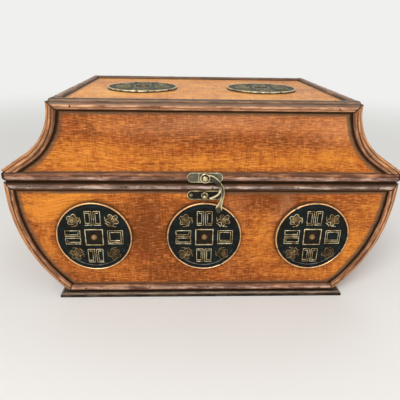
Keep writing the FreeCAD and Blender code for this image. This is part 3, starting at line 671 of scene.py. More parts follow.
@dataclass(frozen=True)
class PanelWood:
    """Stained and lacquered board, darker next to the mouldings: a haze of dark stain and painted shade, and
    a painted shadow line at their foot.
    """

    gold: Shade = (222, 136, 46)
    body: Shade = (178, 96, 38)
    red: Shade = (120, 58, 20)
    ember: Shade = (160, 66, 24)
    # pale colour of the painted sheen patches and of the painted glints on the grain
    sheen_pale: Shade = (206, 146, 106)
    # near-black of the dark grain, of the painted shadow line next to the mouldings and of the darker ring
    # round each coin
    smoke_and_shade: Shade = (22, 11, 5)
    # colour of the haze next to the mouldings: dark stain with painted shade
    haze_of_stain_and_shade: Shade = (88, 72, 56)
    inside: Shade = (136, 86, 50)
    inside_dark: Shade = (98, 58, 34)
    gloss: float = 0.34
    # strength of that haze of dark stain and painted shade
    stain_and_shade_strength: float = 0.8
    # width of the painted shadow line next to the mouldings
    line: float = 2.1 * MM
    figure: float = 9 * MM
    shine: float = 0.25
    sheen: Row = (1.0, 0.55, 0.24, 1.0)

    def material(self, name: str, board: Board) -> bpy.types.Material:
        """Make the finish of one board.

        Args:
            name: Material's name.
            board: The board; its `margin` is the distance from the nearest moulding, and its
                `hidden` is one on the faces inside the chest and on the rims.

        Returns:
            The material.
        """
        graph = Graph(name)
        x, y, z = graph.place()
        spot = graph.vector(x, y, z)
        rise = y if board.flat else z
        drift = graph.noise(spot, 90 * MM) - 0.5
        across_x = board.grain is Grain.ALONG_Y
        along, cross, depth = (y, z, x) if across_x else (x, rise, z if board.flat else y)
        cross = cross + drift * (26 * MM)
        lines = graph.vector(along * 0.05, cross, depth)
        fibre = graph.noise(lines, 1.5 * MM, 3.0, 0.7)
        streak = graph.noise(lines, self.figure, 3.0, 0.6)
        ripple = graph.noise(graph.vector(along * 0.22, cross, depth), 3.2 * MM, 2.0, 0.6)
        blotch = graph.noise(spot, 60 * MM, 4.0, 0.55)
        flame = graph.noise(graph.vector(along, cross * 0.3, depth), 5 * MM, 3.0, 0.6)
        dash = graph.noise(graph.vector(along * 0.13, cross - drift * (21 * MM), depth), 0.85 * MM, 2.0, 0.7)
        tick = graph.noise(graph.vector(along, cross * 0.15, depth), 1.3 * MM, 2.0, 0.6)
        tone = (blotch - 0.5) * 1.5 + (streak - 0.5) * 1.2 + (ripple - 0.5) * 0.4 + (flame - 0.5) * 0.6
        tone = tone + (dash - 0.5) * 2.3 + (tick - 0.5) * 0.85 + (board.level - 0.15)
        for patch in board.patches:
            tone = tone + patch.mask(x + (blotch - 0.5) * (40 * MM), rise + drift * (30 * MM))
        stops = ((0.0, self.red), (0.5, self.body), (1.0, self.gold))
        colour = graph.add("ValToRGB", {"stops": stops}, {0: tone})
        spots = graph.noise(graph.vector(along * 0.5, cross, depth), 13 * MM, 4.0, 0.65)
        colour = graph.mix(spots.rise(0.54, 0.74, 0.0, 0.6), colour, self.ember)
        # Painted glints: fine pale specks on the grain, where the lacquer would catch the light.
        painted_grain_glints = (dash * 0.7 + tick * 0.3).rise(0.50, 0.68, 0.0, 0.40)
        colour = graph.mix(painted_grain_glints, colour, self.sheen_pale)
        colour = graph.mix((fibre - 0.5).rise(-0.16, 0.2, 0.30, 0.0), colour, self.smoke_and_shade)
        # Patches of painted sheen: pale streaks where the lacquer would catch the light.
        for patch in board.sheen_patches:
            share = patch.mask(x + (blotch - 0.5) * (60 * MM), rise + drift * (20 * MM)) * (dash * 1.6)
            colour = graph.mix(share.least(0.8), colour, self.sheen_pale)
        # The board darkens in a ring round each coin, fading out within a few millimetres of its edge.
        for coin_x, coin_rise in board.coins:
            gap = ((x - coin_x) ** 2.0 + (rise - coin_rise) ** 2.0) ** 0.5 - board.coin_radius
            colour = graph.mix(gap.fading(1.6 * MM) * 0.7, colour, self.smoke_and_shade)
        # Next to the mouldings: a haze of dark stain and painted shade, then a near-black painted shadow
        # line at their foot, partly dark stain.
        if board.margin:
            edge = board.margin(x, y, z) + (streak - 0.5) * (1.6 * MM)
            stain_and_shade_haze = edge.rise(1.5 * self.line, 2.2 * self.line, 1.0, 0.0) * (blotch * 1.8 + 0.05) * self.stain_and_shade_strength
            colour = graph.mix(stain_and_shade_haze.least(0.85), colour, self.haze_of_stain_and_shade)
            colour = graph.mix(edge.rise(0.4 * self.line, 1.3 * self.line, 0.97, 0.0), colour, self.smoke_and_shade)
        roughness = fibre * 0.22 + streak * 0.10 + (self.gloss - 0.12)
        if board.hidden:
            within = board.hidden(x, y, z)
            raw = graph.mix(streak.rise(0.3, 0.7), self.inside_dark, self.inside)
            raw = graph.mix((fibre - 0.5).rise(-0.16, 0.2, 0.4, 0.0), raw, self.smoke_and_shade)
            colour = graph.mix(within, colour, raw)
            roughness = roughness + within * 0.28
        height = fibre * (0.05 * MM) + ripple * (0.10 * MM) + blotch * (0.6 * MM)
        return graph.end(graph.surface({
            "Base Color": colour, "Roughness": roughness, "Normal": graph.bump(height),
            "Specular IOR Level": self.shine, "Specular Tint": self.sheen}))


@dataclass(frozen=True)
class MouldingWood:
    """Dark half-round moulding, hand-worn to bare wood along its crest and outer edge.

    `groove` is how far across the painted shade line of a shallow groove lies, `brow` how strongly the
    upper part is greyed by dust and painted sheen, and `shaded_edge` which edge gets a painted shade
    line: 0 the lower one, 1 the upper one, 0.5 both. `gleam` sets a pale painted highlight
    band, and `dust` greys the upward faces with dust and painted sky sheen.
    """

    dark: Shade = (64, 32, 20)
    body: Shade = (124, 72, 44)
    red: Shade = (112, 48, 28)
    worn: Shade = (206, 146, 100)
    # grey of dust and painted sky sheen on upward faces
    dust_sheen_grey: Shade = (136, 122, 102)
    black: Shade = (16, 10, 7)
    # colour of the painted highlight band, and on the plinth of its painted upper-edge highlight
    pale: Shade = (224, 198, 184)
    gloss: float = 0.38
    wear: float = 0.5
    dust: float = 0.3
    hem: float = 0.75
    groove: float = 0.24
    gleam: float = 0.9
    brow: float = 0.0
    shaded_edge: float = 0.5
    sheen: Row = (1.0, 0.74, 0.55, 1.0)

    def material(self, name: str) -> bpy.types.Material:
        """Make the finish for swept mouldings, which keep the marks along, across and joint.

        Args:
            name: Material's name.

        Returns:
            The material.
        """
        graph = Graph(name)
        along, across, joint = graph.mark("along"), graph.mark("across"), graph.mark("joint")
        lines = graph.vector(along * 0.07, across * (7 * MM), along * 0.004)
        fibre = graph.noise(lines, 0.8 * MM, 3.0, 0.7)
        streak = graph.noise(lines, 2.2 * MM, 3.0, 0.65)
        cloud = graph.noise(graph.vector(*graph.place()), 22 * MM, 4.0, 0.65)
        colour = graph.mix(cloud.rise(0.40, 0.62), self.body, self.red)
        colour = graph.mix(streak.rise(0.36, 0.60, 0.85, 0.0), colour, self.dark)
        crest = 1.0 - abs(across - 0.5) * 2.0
        rubbed = cloud + (streak - 0.5) * 1.1 + crest * 0.2 + (self.wear - 0.5) * 0.5
        colour = graph.mix(rubbed.rise(0.56, 0.90, 0.0, 0.85), colour, self.worn)
        # Upward faces greyed: dust and painted sheen of the sky.
        dust_and_sheen_share = graph.upward().rise(0.1, 0.85) * (cloud * 0.9 + 0.35) * self.dust
        colour = graph.mix(dust_and_sheen_share, colour, self.dust_sheen_grey)
        bead = across + (streak - 0.5) * 0.10
        line = self.groove
        hem = bead.rise(0.05, 0.11) * bead.rise(line - 0.05, line, 1.0, 0.0) * (cloud * 1.4 + 0.1) * self.hem
        colour = graph.mix(hem, colour, self.worn)
        # Painted highlight: a pale streaky band along the moulding, above the groove.
        gleam = bead.rise(line + 0.12, line + 0.22) * bead.rise(line + 0.36, line + 0.48, 1.0, 0.0)
        gleam = gleam * (streak * 1.6 - 0.3) * cloud.rise(0.38, 0.62, 0.35, 1.25) * self.gleam
        colour = graph.mix(gleam.least(0.95), colour, self.pale)
        # Upper part greyed by dust and painted sheen.
        if self.brow:
            upper = across.rise(0.56, 0.72) * (streak * 0.5 + 0.65) * self.brow
            colour = graph.mix(upper, colour, self.dust_sheen_grey)
        # Painted shade: a dark line along a shallow groove, which the bump also presses in.
        groove = bead.rise(line - 0.03, line + 0.03) * bead.rise(line + 0.05, line + 0.14, 1.0, 0.0)
        groove = groove * (0.4 + cloud * 0.6)
        colour = graph.mix(groove, colour, self.black)
        colour = graph.mix((fibre - 0.5).rise(-0.14, 0.14, 0.65, 0.0), colour, self.dark)
        # Dark joints at the moulding's ends, and painted shade along the edge or edges where it meets the
        # board.
        edge = crest if self.shaded_edge == 0.5 else abs(across - self.shaded_edge) * 2.0
        joint_and_edge_shade = joint.rise(0.2 * MM, 1.2 * MM, 0.95, 0.0).most(edge.rise(0.02, 0.10, 0.92, 0.0))
        colour = graph.mix(joint_and_edge_shade, colour, self.black)
        height = fibre * (0.10 * MM) + streak * (0.16 * MM) - groove * (0.12 * MM)
        return graph.end(graph.surface({
            "Base Color": colour, "Roughness": fibre * 0.25 + cloud * 0.12 + (self.gloss - 0.1),
            "Normal": graph.bump(height), "Specular IOR Level": 0.35, "Specular Tint": self.sheen}))

    def slab(self, name: str, half: Vector) -> bpy.types.Material:
        """Make the finish of the plinth, whose grain runs along X.

        Args:
            name: Material's name.
            half: Half the plinth's size.

        Returns:
            The material.
        """
        graph = Graph(name)
        x, y, z = graph.place()
        lines = graph.vector(x * 0.06, y, z)
        fibre = graph.noise(lines, 0.9 * MM, 3.0, 0.7)
        streak = graph.noise(lines, 2.4 * MM, 3.0, 0.6)
        cloud = graph.noise(graph.vector(x, y, z), 20 * MM, 4.0, 0.6)
        colour = graph.mix(cloud.rise(0.38, 0.66), self.black, self.body)
        # Upper edge lightened: wear and a painted highlight along it.
        edge = z.rise(1.20 * half.z, 1.84 * half.z) * (streak * 1.2 + cloud * 0.6)
        colour = graph.mix(edge, colour, self.pale)
        # Painted shade: the plinth's top, under and beside the tray, darkened near-black away from its outer
        # rim.
        inset = (half.x - abs(x)).least(half.y - abs(y))
        colour = graph.mix(inset.rise(1.4 * MM, 2.8 * MM, 0.0, 0.85), colour, self.black)
        colour = graph.mix((fibre - 0.5).rise(-0.14, 0.16, 0.7, 0.0), colour, self.black)
        return graph.end(graph.surface({
            "Base Color": colour, "Roughness": fibre * 0.2 + 0.42, "Specular IOR Level": 0.25,
            "Normal": graph.bump(fibre * (0.14 * MM) + streak * (0.2 * MM)), "Specular Tint": self.sheen}))


# Greyer, lighter copy for the mouldings on the lid's top, whose upward faces take more dust and painted sky
# sheen; the painted shade line lies along their inner edge.
TOP_WOOD = MouldingWood(body=(142, 102, 72), red=(130, 84, 56), dark=(66, 44, 30), worn=(196, 146, 108),
                        dust_sheen_grey=(136, 118, 98), wear=0.55, dust=0.6, gleam=0.5, shaded_edge=1.0)


class Strip(Enum):
    """Woods of the mouldings, each with its material's name."""

    LEVEL = "moulding_wood", MouldingWood()
    LID_RIM = "lid_rim_moulding_wood", MouldingWood(groove=0.11)
    # Darker copy for the tray's rim: painted shade under the lid's overhang, with a strong painted
    # highlight.
    SEAM = "seam_moulding_wood", MouldingWood(
        body=(100, 62, 40), red=(92, 40, 24), dark=(48, 26, 16), wear=0.35, dust=0.2, hem=1.0, gleam=1.1,
        pale=(212, 200, 190))
    CURVED = "curved_moulding_wood", MouldingWood(
        body=(146, 94, 60), red=(134, 74, 46), worn=(214, 150, 98), hem=1.0, groove=0.46, gleam=0.8,
        pale=(222, 174, 136))
    # Crown moulding: upper part greyed by dust and painted sheen, painted shade line along its lower edge
    # only.
    CROWN = "crown_moulding_wood", MouldingWood(
        body=(160, 104, 68), red=(146, 84, 58), dark=(96, 52, 34), worn=(224, 166, 124), wear=0.8,
        dust_sheen_grey=(104, 92, 79), brow=1.0, shaded_edge=0.0, groove=0.36, gleam=0.8, pale=(232, 182, 142))
    TOP = "top_moulding_wood", TOP_WOOD
    # Greyer copy for the front top strip: painted reflection of the sky on its upward face.
    TOP_FRONT = "top_front_moulding_wood", replace(
        TOP_WOOD, body=(108, 92, 76), dust_sheen_grey=(112, 102, 90), dust=0.95, wear=0.2, gleam=0.25,
        pale=(150, 138, 122), worn=(150, 120, 96))

    def material(self) -> bpy.types.Material:
        """Make this wood's material."""
        name, wood = self.value
        return wood.material(name)


@dataclass(frozen=True)
class AgedMetal:
    """Cast metal that keeps its skin in the recesses and is rubbed bright where it stands proud."""

    skin: Shade
    tint: Shade
    mellow: Shade
    bright: Shade
    rub: float
    shine: float

    def material(self, name: str, marked: bool = True) -> bpy.types.Material:
        """Make the finish.

        Args:
            name: Material's name.
            marked: Whether the mesh keeps the mark `wear`; if not, the metal is evenly mellow.

        Returns:
            The material.
        """
        graph = Graph(name)
        spot = graph.vector(*graph.place())
        cloud = graph.noise(spot, 5 * MM, 3.0, 0.6)
        grit = graph.noise(spot, 0.7 * MM, 2.0, 0.6)
        strength = (cloud * 1.5 + grit * 0.4 + (self.rub - 0.95)) * (graph.mark("wear") if marked else 0.6)
        colour = graph.mix(cloud.rise(0.42, 0.66), self.skin, self.tint)
        colour = graph.mix(strength.rise(0.12, 0.55), colour, self.mellow)
        colour = graph.mix(strength.rise(0.55, 1.05), colour, self.bright)
        bare = strength.rise(0.15, 0.9)
        roughness = 0.56 - bare * (0.56 - self.shine) + (grit - 0.5) * 0.2
        height = grit * (0.06 * MM) + cloud * (0.12 * MM)
        return graph.end(graph.surface({
            "Base Color": colour, "Metallic": bare * 0.75, "Roughness": roughness,
            "Specular IOR Level": 0.15, "Normal": graph.bump(height)}))


class Metal(Enum):
    """Metals of the chest, each with its material's name."""

    BRAD = "brad_steel", AgedMetal((26, 18, 14), (44, 30, 22), (84, 60, 44), (150, 118, 92), 0.2, 0.4)
    COIN = "coin_skin", AgedMetal((8, 7, 3), (8, 25, 25), (112, 112, 104), (236, 180, 122), 0.62, 0.36)
    RELIEF = "coin_relief_brass", AgedMetal(
        (20, 18, 12), (40, 32, 18), (120, 94, 56), (210, 198, 160), 0.72, 0.34)
    WINDOW = "coin_window_brown", AgedMetal(
        (14, 11, 5), (26, 19, 9), (46, 34, 16), (70, 50, 26), 0.5, 0.42)
    COIN_NAIL = "coin_nail_brass", AgedMetal(
        (40, 30, 16), (64, 48, 26), (116, 88, 52), (172, 138, 92), 0.7, 0.34)
    # Paler, greyer copies for the upward-facing coins on the lid's top.
    PALE_TOP_COIN = "coin_skin_pale_top", AgedMetal(
        (46, 48, 38), (54, 60, 48), (92, 92, 76), (206, 182, 144), 0.62, 0.42)
    PALE_TOP_RELIEF = "coin_relief_pale_top", AgedMetal(
        (58, 58, 44), (72, 70, 52), (104, 98, 74), (158, 146, 116), 0.72, 0.40)
    BRASS = "antique_brass", AgedMetal(
        (44, 40, 30), (74, 68, 54), (116, 102, 74), (228, 214, 172), 0.80, 0.28)
    PALE_BRASS = "pale_brass", AgedMetal(
        (84, 80, 68), (106, 103, 92), (122, 114, 92), (230, 216, 176), 0.80, 0.3)
    SHADED_BRASS = "shaded_brass", AgedMetal(
        (13, 12, 8), (28, 26, 17), (96, 86, 58), (228, 214, 168), 0.80, 0.32)
    HINGE_BRASS = "hinge_brass", AgedMetal(
        (84, 72, 46), (112, 96, 60), (156, 136, 88), (210, 190, 136), 0.9, 0.3)

    def material(self, marked: bool = True) -> bpy.types.Material:
        """Make this metal's material."""
        name, finish = self.value
        return finish.material(name, marked)


# --- woodwork ----------------------------------------------------------------------------
@dataclass
class Woodwork:
    """Boards of the tray and the lid: panels outside, plain wood inside."""

    measures: Measures
    panel: PanelWood = PanelWood()
    # Lighter, yellower copy of the panel wood for the lid's top: its colours are painted with the light and
    # sheen that fall on the upward board.
    top_panel: PanelWood = PanelWood(
        gold=(255, 192, 98), body=(238, 156, 68), red=(178, 104, 48), ember=(206, 120, 56),
        sheen_pale=(244, 190, 126), smoke_and_shade=(92, 70, 48), haze_of_stain_and_shade=(140, 112, 84), gloss=0.36, line=1.8 * MM,
        figure=24 * MM, shine=0.1)
    floor_wood: PanelWood = PanelWood(gold=(150, 98, 58), body=(124, 78, 46), red=(98, 60, 36),
                                      ember=(112, 68, 40), sheen_pale=(150, 100, 62))
    skin: float = 0.5 * MM
    ease: float = 1.4 * MM
    tray_patches: tuple[Patch, ...] = (
        Patch(-0.142, 0.100, 0.026, 0.012, 0.42), Patch(0.150, 0.100, 0.020, 0.012, 0.34),
        Patch(-0.051, 0.070, 0.017, 0.030, -0.75), Patch(-0.130, 0.100, 0.040, 0.016, 0.45),
        Patch(0.055, 0.075, 0.014, 0.030, 0.25), Patch(0.138, 0.055, 0.016, 0.030, 0.50),
        Patch(-0.105, 0.026, 0.050, 0.010, 0.15), Patch(0.010, 0.024, 0.070, 0.012, -0.22),
        Patch(0.055, 0.104, 0.030, 0.008, -0.30), Patch(-0.148, 0.060, 0.010, 0.030, 0.45))
    # Patches of painted sheen on the tray's front.
    tray_blooms: tuple[Patch, ...] = (
        Patch(0.067, 0.096, 0.008, 0.014, 0.32), Patch(0.030, 0.070, 0.005, 0.034, 0.22))
    lid_patches: tuple[Patch, ...] = (
        Patch(0.0, 0.172, 0.120, 0.016, -0.10), Patch(-0.020, 0.136, 0.120, 0.010, 0.40),
        Patch(-0.120, 0.140, 0.030, 0.012, 0.30), Patch(0.125, 0.142, 0.026, 0.014, 0.30),
        Patch(0.070, 0.152, 0.040, 0.014, -0.15))
    # Patches of painted sheen, the widest along the lid's upper edge.
    lid_blooms: tuple[Patch, ...] = (
        Patch(0.010, 0.172, 0.085, 0.010, 0.42), Patch(0.118, 0.166, 0.030, 0.014, 0.36))

    def margin(self, body: Body, end: bool) -> Gauge:
        """Give the distance from the mouldings on one of the chest's sides.

        Args:
            body: Body that the board belongs to.
            end: Whether it is an end board, and not a front or back one.

        Returns:
            Function of a surface point.
        """
        sizes, tray = self.measures, body is Body.TRAY
        stem = f"{body.value}_{'left' if end else 'front'}"
        low = sizes.levels(f"{stem}_{'foot' if tray else 'rim'}_strip")[1]
        high = sizes.levels(f"{stem}_{'rim' if tray else 'crown'}_strip")[0]
        if end:
            half = sizes.face_y - sizes.side_width
            return lambda x, y, z: (z - low).least(high - z).least(half - abs(y))
        # Above the lower mouldings the distance is eased, so the painted shadow line there comes out
        # narrower; on the curved sides it is shortened, so it comes out wider.
        curve, ease = (sizes.bulge, self.ease) if tray else (sizes.hollow, 2 * self.ease)
        return lambda x, y, z: (z - low + ease).least(high - z).least(
            (curve.depth(x, z) - sizes.side_width) * 0.75)

    def dress(self) -> None:
        """Give every board its finish."""
        sizes, skin, along_y = self.measures, self.skin, Grain.ALONG_Y
        wide, deep = sizes.crown_x - sizes.side_width, sizes.face_y - sizes.side_width
        coins = [extent(f"front_{place}_medallion") for place in ("left", "middle", "right")]
        top_coins = [extent(f"top_{place}_medallion") for place in ("left", "right")]
        radius = coins[0][1].z
        tray = Board(margin=self.margin(Body.TRAY, False),
                     hidden=lambda x, y, z: (sizes.face_y - skin - abs(y)).above(0.0))
        lid = replace(tray, margin=self.margin(Body.LID, False))
        tray_end = Board(along_y, self.margin(Body.TRAY, True),
                         lambda x, y, z: sizes.bulge.depth(x, z).above(skin))
        lid_end = Board(along_y, self.margin(Body.LID, True), level=0.55, hidden=lambda x, y, z: (
            sizes.hollow.depth(x, z).above(skin) * (sizes.seam_x - skin - abs(x)).above(0.0)))
        front_tray = replace(tray, patches=self.tray_patches, sheen_patches=self.tray_blooms, level=0.52,
                             coins=tuple((middle.x, middle.z) for middle, _ in coins), coin_radius=radius)
        front_lid = replace(lid, patches=self.lid_patches, sheen_patches=self.lid_blooms, level=0.56)
        top = Board(level=0.55, flat=True, coin_radius=radius,
                    coins=tuple((middle.x, middle.y) for middle, _ in top_coins),
                    # the front edge's distance is shortened, so the painted shadow line and haze there come
                    # out wider
                    margin=lambda x, y, z: (wide - abs(x)).least(deep - y).least((deep + y) * 0.35),
                    hidden=lambda x, y, z: (sizes.lid_top - skin - z).above(0.0))
        for finish, wood, board, nodes in (
                ("tray_front_panel", self.panel, front_tray, ["tray_front_board"]),
                ("lid_front_panel", self.panel, front_lid, ["lid_front_board"]),
                ("tray_back_panel", self.panel, tray, ["tray_back_board"]),
                ("lid_back_panel", self.panel, lid, ["lid_back_board"]),
                ("tray_end_panel", self.panel, tray_end, ["tray_left_end_board", "tray_right_end_board"]),
                ("lid_end_panel", self.panel, lid_end, ["lid_left_end_board", "lid_right_end_board"]),
                ("lid_top_panel", self.top_panel, top, ["lid_top_board"]),
                ("tray_floor_wood", self.floor_wood, Board(flat=True), ["tray_floor"])):
            material = wood.material(finish, board)
            for node in nodes:
                dress(node, material)
        self.plinth()

    def plinth(self) -> None:
        """Thin plinth with a rounded, slightly uneven upper edge."""
        middle, half = extent("base_plinth")
        tall = 2 * half.z
        shape = Shape()
        rows = []
        for inset, level in ((0.35, 0.0), (0.0, 0.08), (0.0, 0.55), (0.06, 0.74), (0.2, 0.88), (0.42, 0.97),
                             (0.75, 1.0), (3.0, 0.99)):
            wide, deep = half.x - inset * tall, half.y - inset * tall
            row = []
            for (side_x, side_y), count in (((0, -1), 90), ((1, 0), 60), ((0, 1), 90), ((-1, 0), 60)):
                for index in range(count):
                    place = 2 * index / count - 1
                    spot = Vector(((side_x - side_y * place) * wide, (side_y + side_x * place) * deep,
                                   level * tall))
                    shrink = 1 - 0.22 * MM * abs(noise.noise(spot / (14 * MM))) / half.y
                    row.append((Vector((middle.x + spot.x * shrink, middle.y + spot.y * shrink,
                                        middle.z - half.z + spot.z)), ()))
            rows.append(row)
        shape.sheet(rows)
        finish = MouldingWood(body=(84, 66, 52), pale=(160, 140, 120)).slab("plinth_wood", half)
        shape.piece("plinth_bullnose", finish, Body.TRAY, Slot.DARK, ["base_plinth"])


# --- mouldings ---------------------------------------------------------------------------
@dataclass(frozen=True)
class Rail:
    """Line that a moulding follows, and the two directions of its section."""

    length: float
    edge: Callable[[float], Vector]
    across: Callable[[float], Vector]
    out: Callable[[float], Vector]

    @staticmethod
    def straight(start: Vector, along: Vector, length: float, across: Vector, out: Vector) -> "Rail":
        """Straight line from a point."""
        return Rail(length, lambda s: start + along * s, lambda s: across, lambda s: out)

    def shares(self, *shares: float) -> list[float]:
        """Distances at shares of its length."""
        return [self.length * share for share in shares]

    def spot(self, s: float, across: float, out: float) -> Vector:
        """Point of the section at a distance."""
        return self.edge(s) + self.across(s) * across + self.out(s) * out


@dataclass(frozen=True)
class Cut:
    """Plane that a moulding's end is cut to."""

    point: Vector
    normal: Vector

    @staticmethod
    def mitre(outer: Pair, inner: Pair, flip: float = 1.0) -> "Cut":
        """Plane through two points of a face, square to it; `flip` -1 for its mirror image."""
        run, rise = (outer[0] - inner[0]) * flip, outer[1] - inner[1]
        return Cut(Vector((outer[0] * flip, 0.0, outer[1])), Vector((rise, 0.0, -run)).normalized())

    @staticmethod
    def level(height: float) -> "Cut":
        """Level plane."""
        return Cut(UP * height, UP)

    def along(self, rail: Rail, across: float, out: float, guess: float, reach: float) -> float:
        """Find where a line of the section meets the plane.

        Args:
            rail: Rail that carries the section.
            across: Place in the section, along its width.
            out: Place in the section, off the board.
            guess: Distance along the rail near the answer.
            reach: How far from there it may be.

        Returns:
            Distance along the rail.
        """
        def before(s: float) -> bool:
            """Whether a place on the line is on the plane's near side."""
            return (rail.spot(s, across, out) - self.point).dot(self.normal) < 0

        low, high = guess - reach, guess + reach
        below = before(low)
        for _ in range(30):
            middle = (low + high) / 2
            if before(middle) == below:
                low = middle
            else:
                high = middle
        return (low + high) / 2


@dataclass
class Mouldings:
    """All mouldings of the chest, each swept along its own edge, with brads."""

    measures: Measures
    step: float = 1.6 * MM
    ribs: int = 14
    wander: float = 0.16 * MM
    nick_pitch: float = 42 * MM
    brad_radius: float = 0.5 * MM
    sink: float = 0.4 * MM
    seed: int = 7

    def __post_init__(self) -> None:
        """Start the dents' random numbers, the woods and the brads' meshes."""
        self.random = Random(self.seed)
        self.brads = {body: Shape("wear") for body in (Body.TRAY, Body.LID)}
        self.woods = {strip: strip.material() for strip in Strip}

    def section(self, width: float) -> list[Row]:
        """Half-round section.

        Args:
            width: Its width.

        Returns:
            Rows of distance across, height, and share of the way across.
        """
        rows = []
        for index in range(self.ribs + 1):
            share = (1 - math.cos(math.pi * index / self.ribs)) / 2
            height = self.measures.proud * max(0.0, 1 - abs(2 * share - 1) ** 3.6) ** 0.55
            rows.append((share * width, height, index / self.ribs))
        return rows

    def sweep(self, shape: Shape, rail: Rail, width: float, start: Cut | None = None,
              end: Cut | None = None, sink: float = 0.0) -> None:
        """Sweep the section along a rail, cut to planes at its ends.

        Args:
            shape: Mesh that the moulding is added to.
            rail: Line that it follows.
            width: Its width.
            start: Plane at its start, if it isn't square.
            end: Plane at its end, if it isn't square.
            sink: How far its back is let into the board.
        """
        draw = self.random.uniform
        count = max(4, round(rail.length / self.step))
        offset = draw(1.0, 9.0)
        nicks = [(draw(0, rail.length), draw(0.15, 0.85) * width, draw(0.7, 1.9) * MM, draw(0.15, 0.55) * MM)
                 for _ in range(round(rail.length / self.nick_pitch))]
        lines = self.section(width)
        if sink:
            lines = [(0.0, -sink, 0.0), *lines, (width, -sink, 1.0)]
        ends = [(start.along(rail, across, height, 0.0, 2 * width) if start else 0.0,
                 end.along(rail, across, height, rail.length, 2 * width) if end else rail.length)
                for across, height, _ in lines]
        rows = []
        for index in range(count + 1):
            row = []
            for (across, height, share), (first, last) in zip(lines, ends):
                s = first + (last - first) * index / count
                joint = min(s - first, last - s)
                calm = min(1.0, joint / (6 * MM))
                drift = noise.noise(Vector((s / (24 * MM), offset, 0.0)))
                shallow = noise.noise(Vector((s / (9 * MM), offset, share * 1.5)))
                shifted = across + drift * self.wander * calm * 4 * share * (1 - share)
                lowered = height * (1 - 0.05 * calm * (1 + drift)) - abs(shallow) * self.wander * calm
                for place, side, reach, depth in nicks:
                    gap = math.hypot(s - place, (across - side) * 1.6) / reach
                    lowered -= depth * math.exp(-gap * gap)
                out = max(lowered, 0.0) if height > 0 else height
                row.append((rail.spot(s, shifted, out), (s + offset, share, max(joint, 0.0))))
            rows.append(row)
        shape.sheet(rows)

    def nail(self, body: Body, rail: Rail, width: float, places: Iterable[float],
             reflections: Iterable[Sequence[int]]) -> None:
        """Drive brads into the crest of a moulding.

        Args:
            body: Body that the moulding belongs to.
            rail: Line that it follows.
            width: Its width.
            places: Distances along the rail.
            reflections: Axes that each copy is mirrored in.
        """
        radius = self.brad_radius / MM
        profile = ((1.5 * radius, -0.3, 0.0), (1.45 * radius, 0.08, 0.25), (1.1 * radius, 0.16, 0.2),
                   (0.7 * radius, 0.0, 0.0), (0.0, -0.05, 0.0))
        for place in places:
            across = width * self.random.uniform(0.36, 0.64)
            bow = abs(2 * across / width - 1)
            height = self.measures.proud * (1 - bow ** 2.7) ** 0.55 - 0.18 * MM
            for axes in reflections:
                spot, out = rail.spot(place, across, height), rail.out(place).copy()
                right = rail.across(place).copy()
                for axis in axes:
                    for vector in (spot, out, right):
                        vector[axis] = -vector[axis]
                lathe(self.brads[body], Seat(spot, right, out.cross(right), out), profile, 12)

    def twins(self, name: str, axis: int, rail: Rail, width: float, strip: Strip, brads: Iterable[float],
              cuts: Sequence[Cut] = (), sink: float = 0.0) -> None:
        """Make a moulding and its twin on the opposite side of the chest.

        Args:
            name: Its node's name with {} for the side; a node of strips is a mirrored pair.
            axis: Axis that the twin is mirrored in: 0 on the ends, 1 on the front and back.
            rail: Line that it follows on the right-hand end or on the front.
            width: Its width.
            strip: Its wood.
            brads: Distances along the rail where brads are.
            cuts: Planes at its start and its end; none where it is square.
            sink: How far its back is let into the board.
        """
        body, paired = Body(name.split("_")[0]), name.endswith("strips")
        for side in (("right", "left"), ("front", "back"))[axis]:
            shape = Shape("along", "across", "joint")
            self.sweep(shape, rail, width, *cuts, sink=sink)
            if paired:
                shape.reflect(1 - axis)
            if side in ("left", "back"):
                shape.flip(axis)
            node = name.format(side)
            shape.piece(node.replace("strip", "moulding"), self.woods[strip], body, Slot.DARK, [node])
        flips = [(), (axis,), (1 - axis,), (0, 1)] if paired else [(), (axis,)]
        self.nail(body, rail, width, brads, flips)

    def curved(self, curve: Bulge | Hollow, end: bool) -> Rail:
        """Rail along the right-hand front curved edge.

        Args:
            curve: The edge's curve.
            end: Whether the moulding lies on the end, and not on the front.

        Returns:
            The rail.
        """
        drop = BACK * -self.measures.face_y
        across, out = (lambda s: BACK, lambda s: -curve.run(s)[1]) if end else (
            lambda s: curve.run(s)[1], lambda s: -BACK)
        return Rail(curve.length, lambda s: curve.run(s)[0] + drop, across, out)

    def level_face(self, half: float, low: float) -> Rail:
        """Level rail on the front face, from left to right."""
        return Rail.straight(Vector((-half, -self.measures.face_y, low)), RIGHT, 2 * half, UP, -BACK)

    def level_end(self, low: Pair, high: Pair) -> Rail:
        """Level rail on the right-hand end, between its two curved mouldings.

        Args:
            low: X and Z of its lower edge.
            high: X and Z of its upper edge.

        Returns:
            The rail.
        """
        half = self.measures.face_y - self.measures.side_width
        across = Vector((high[0] - low[0], 0.0, high[1] - low[1])).normalized()
        start = Vector((low[0], -half, low[1]))
        return Rail.straight(start, BACK, 2 * half, across, Vector((across.z, 0.0, -across.x)))

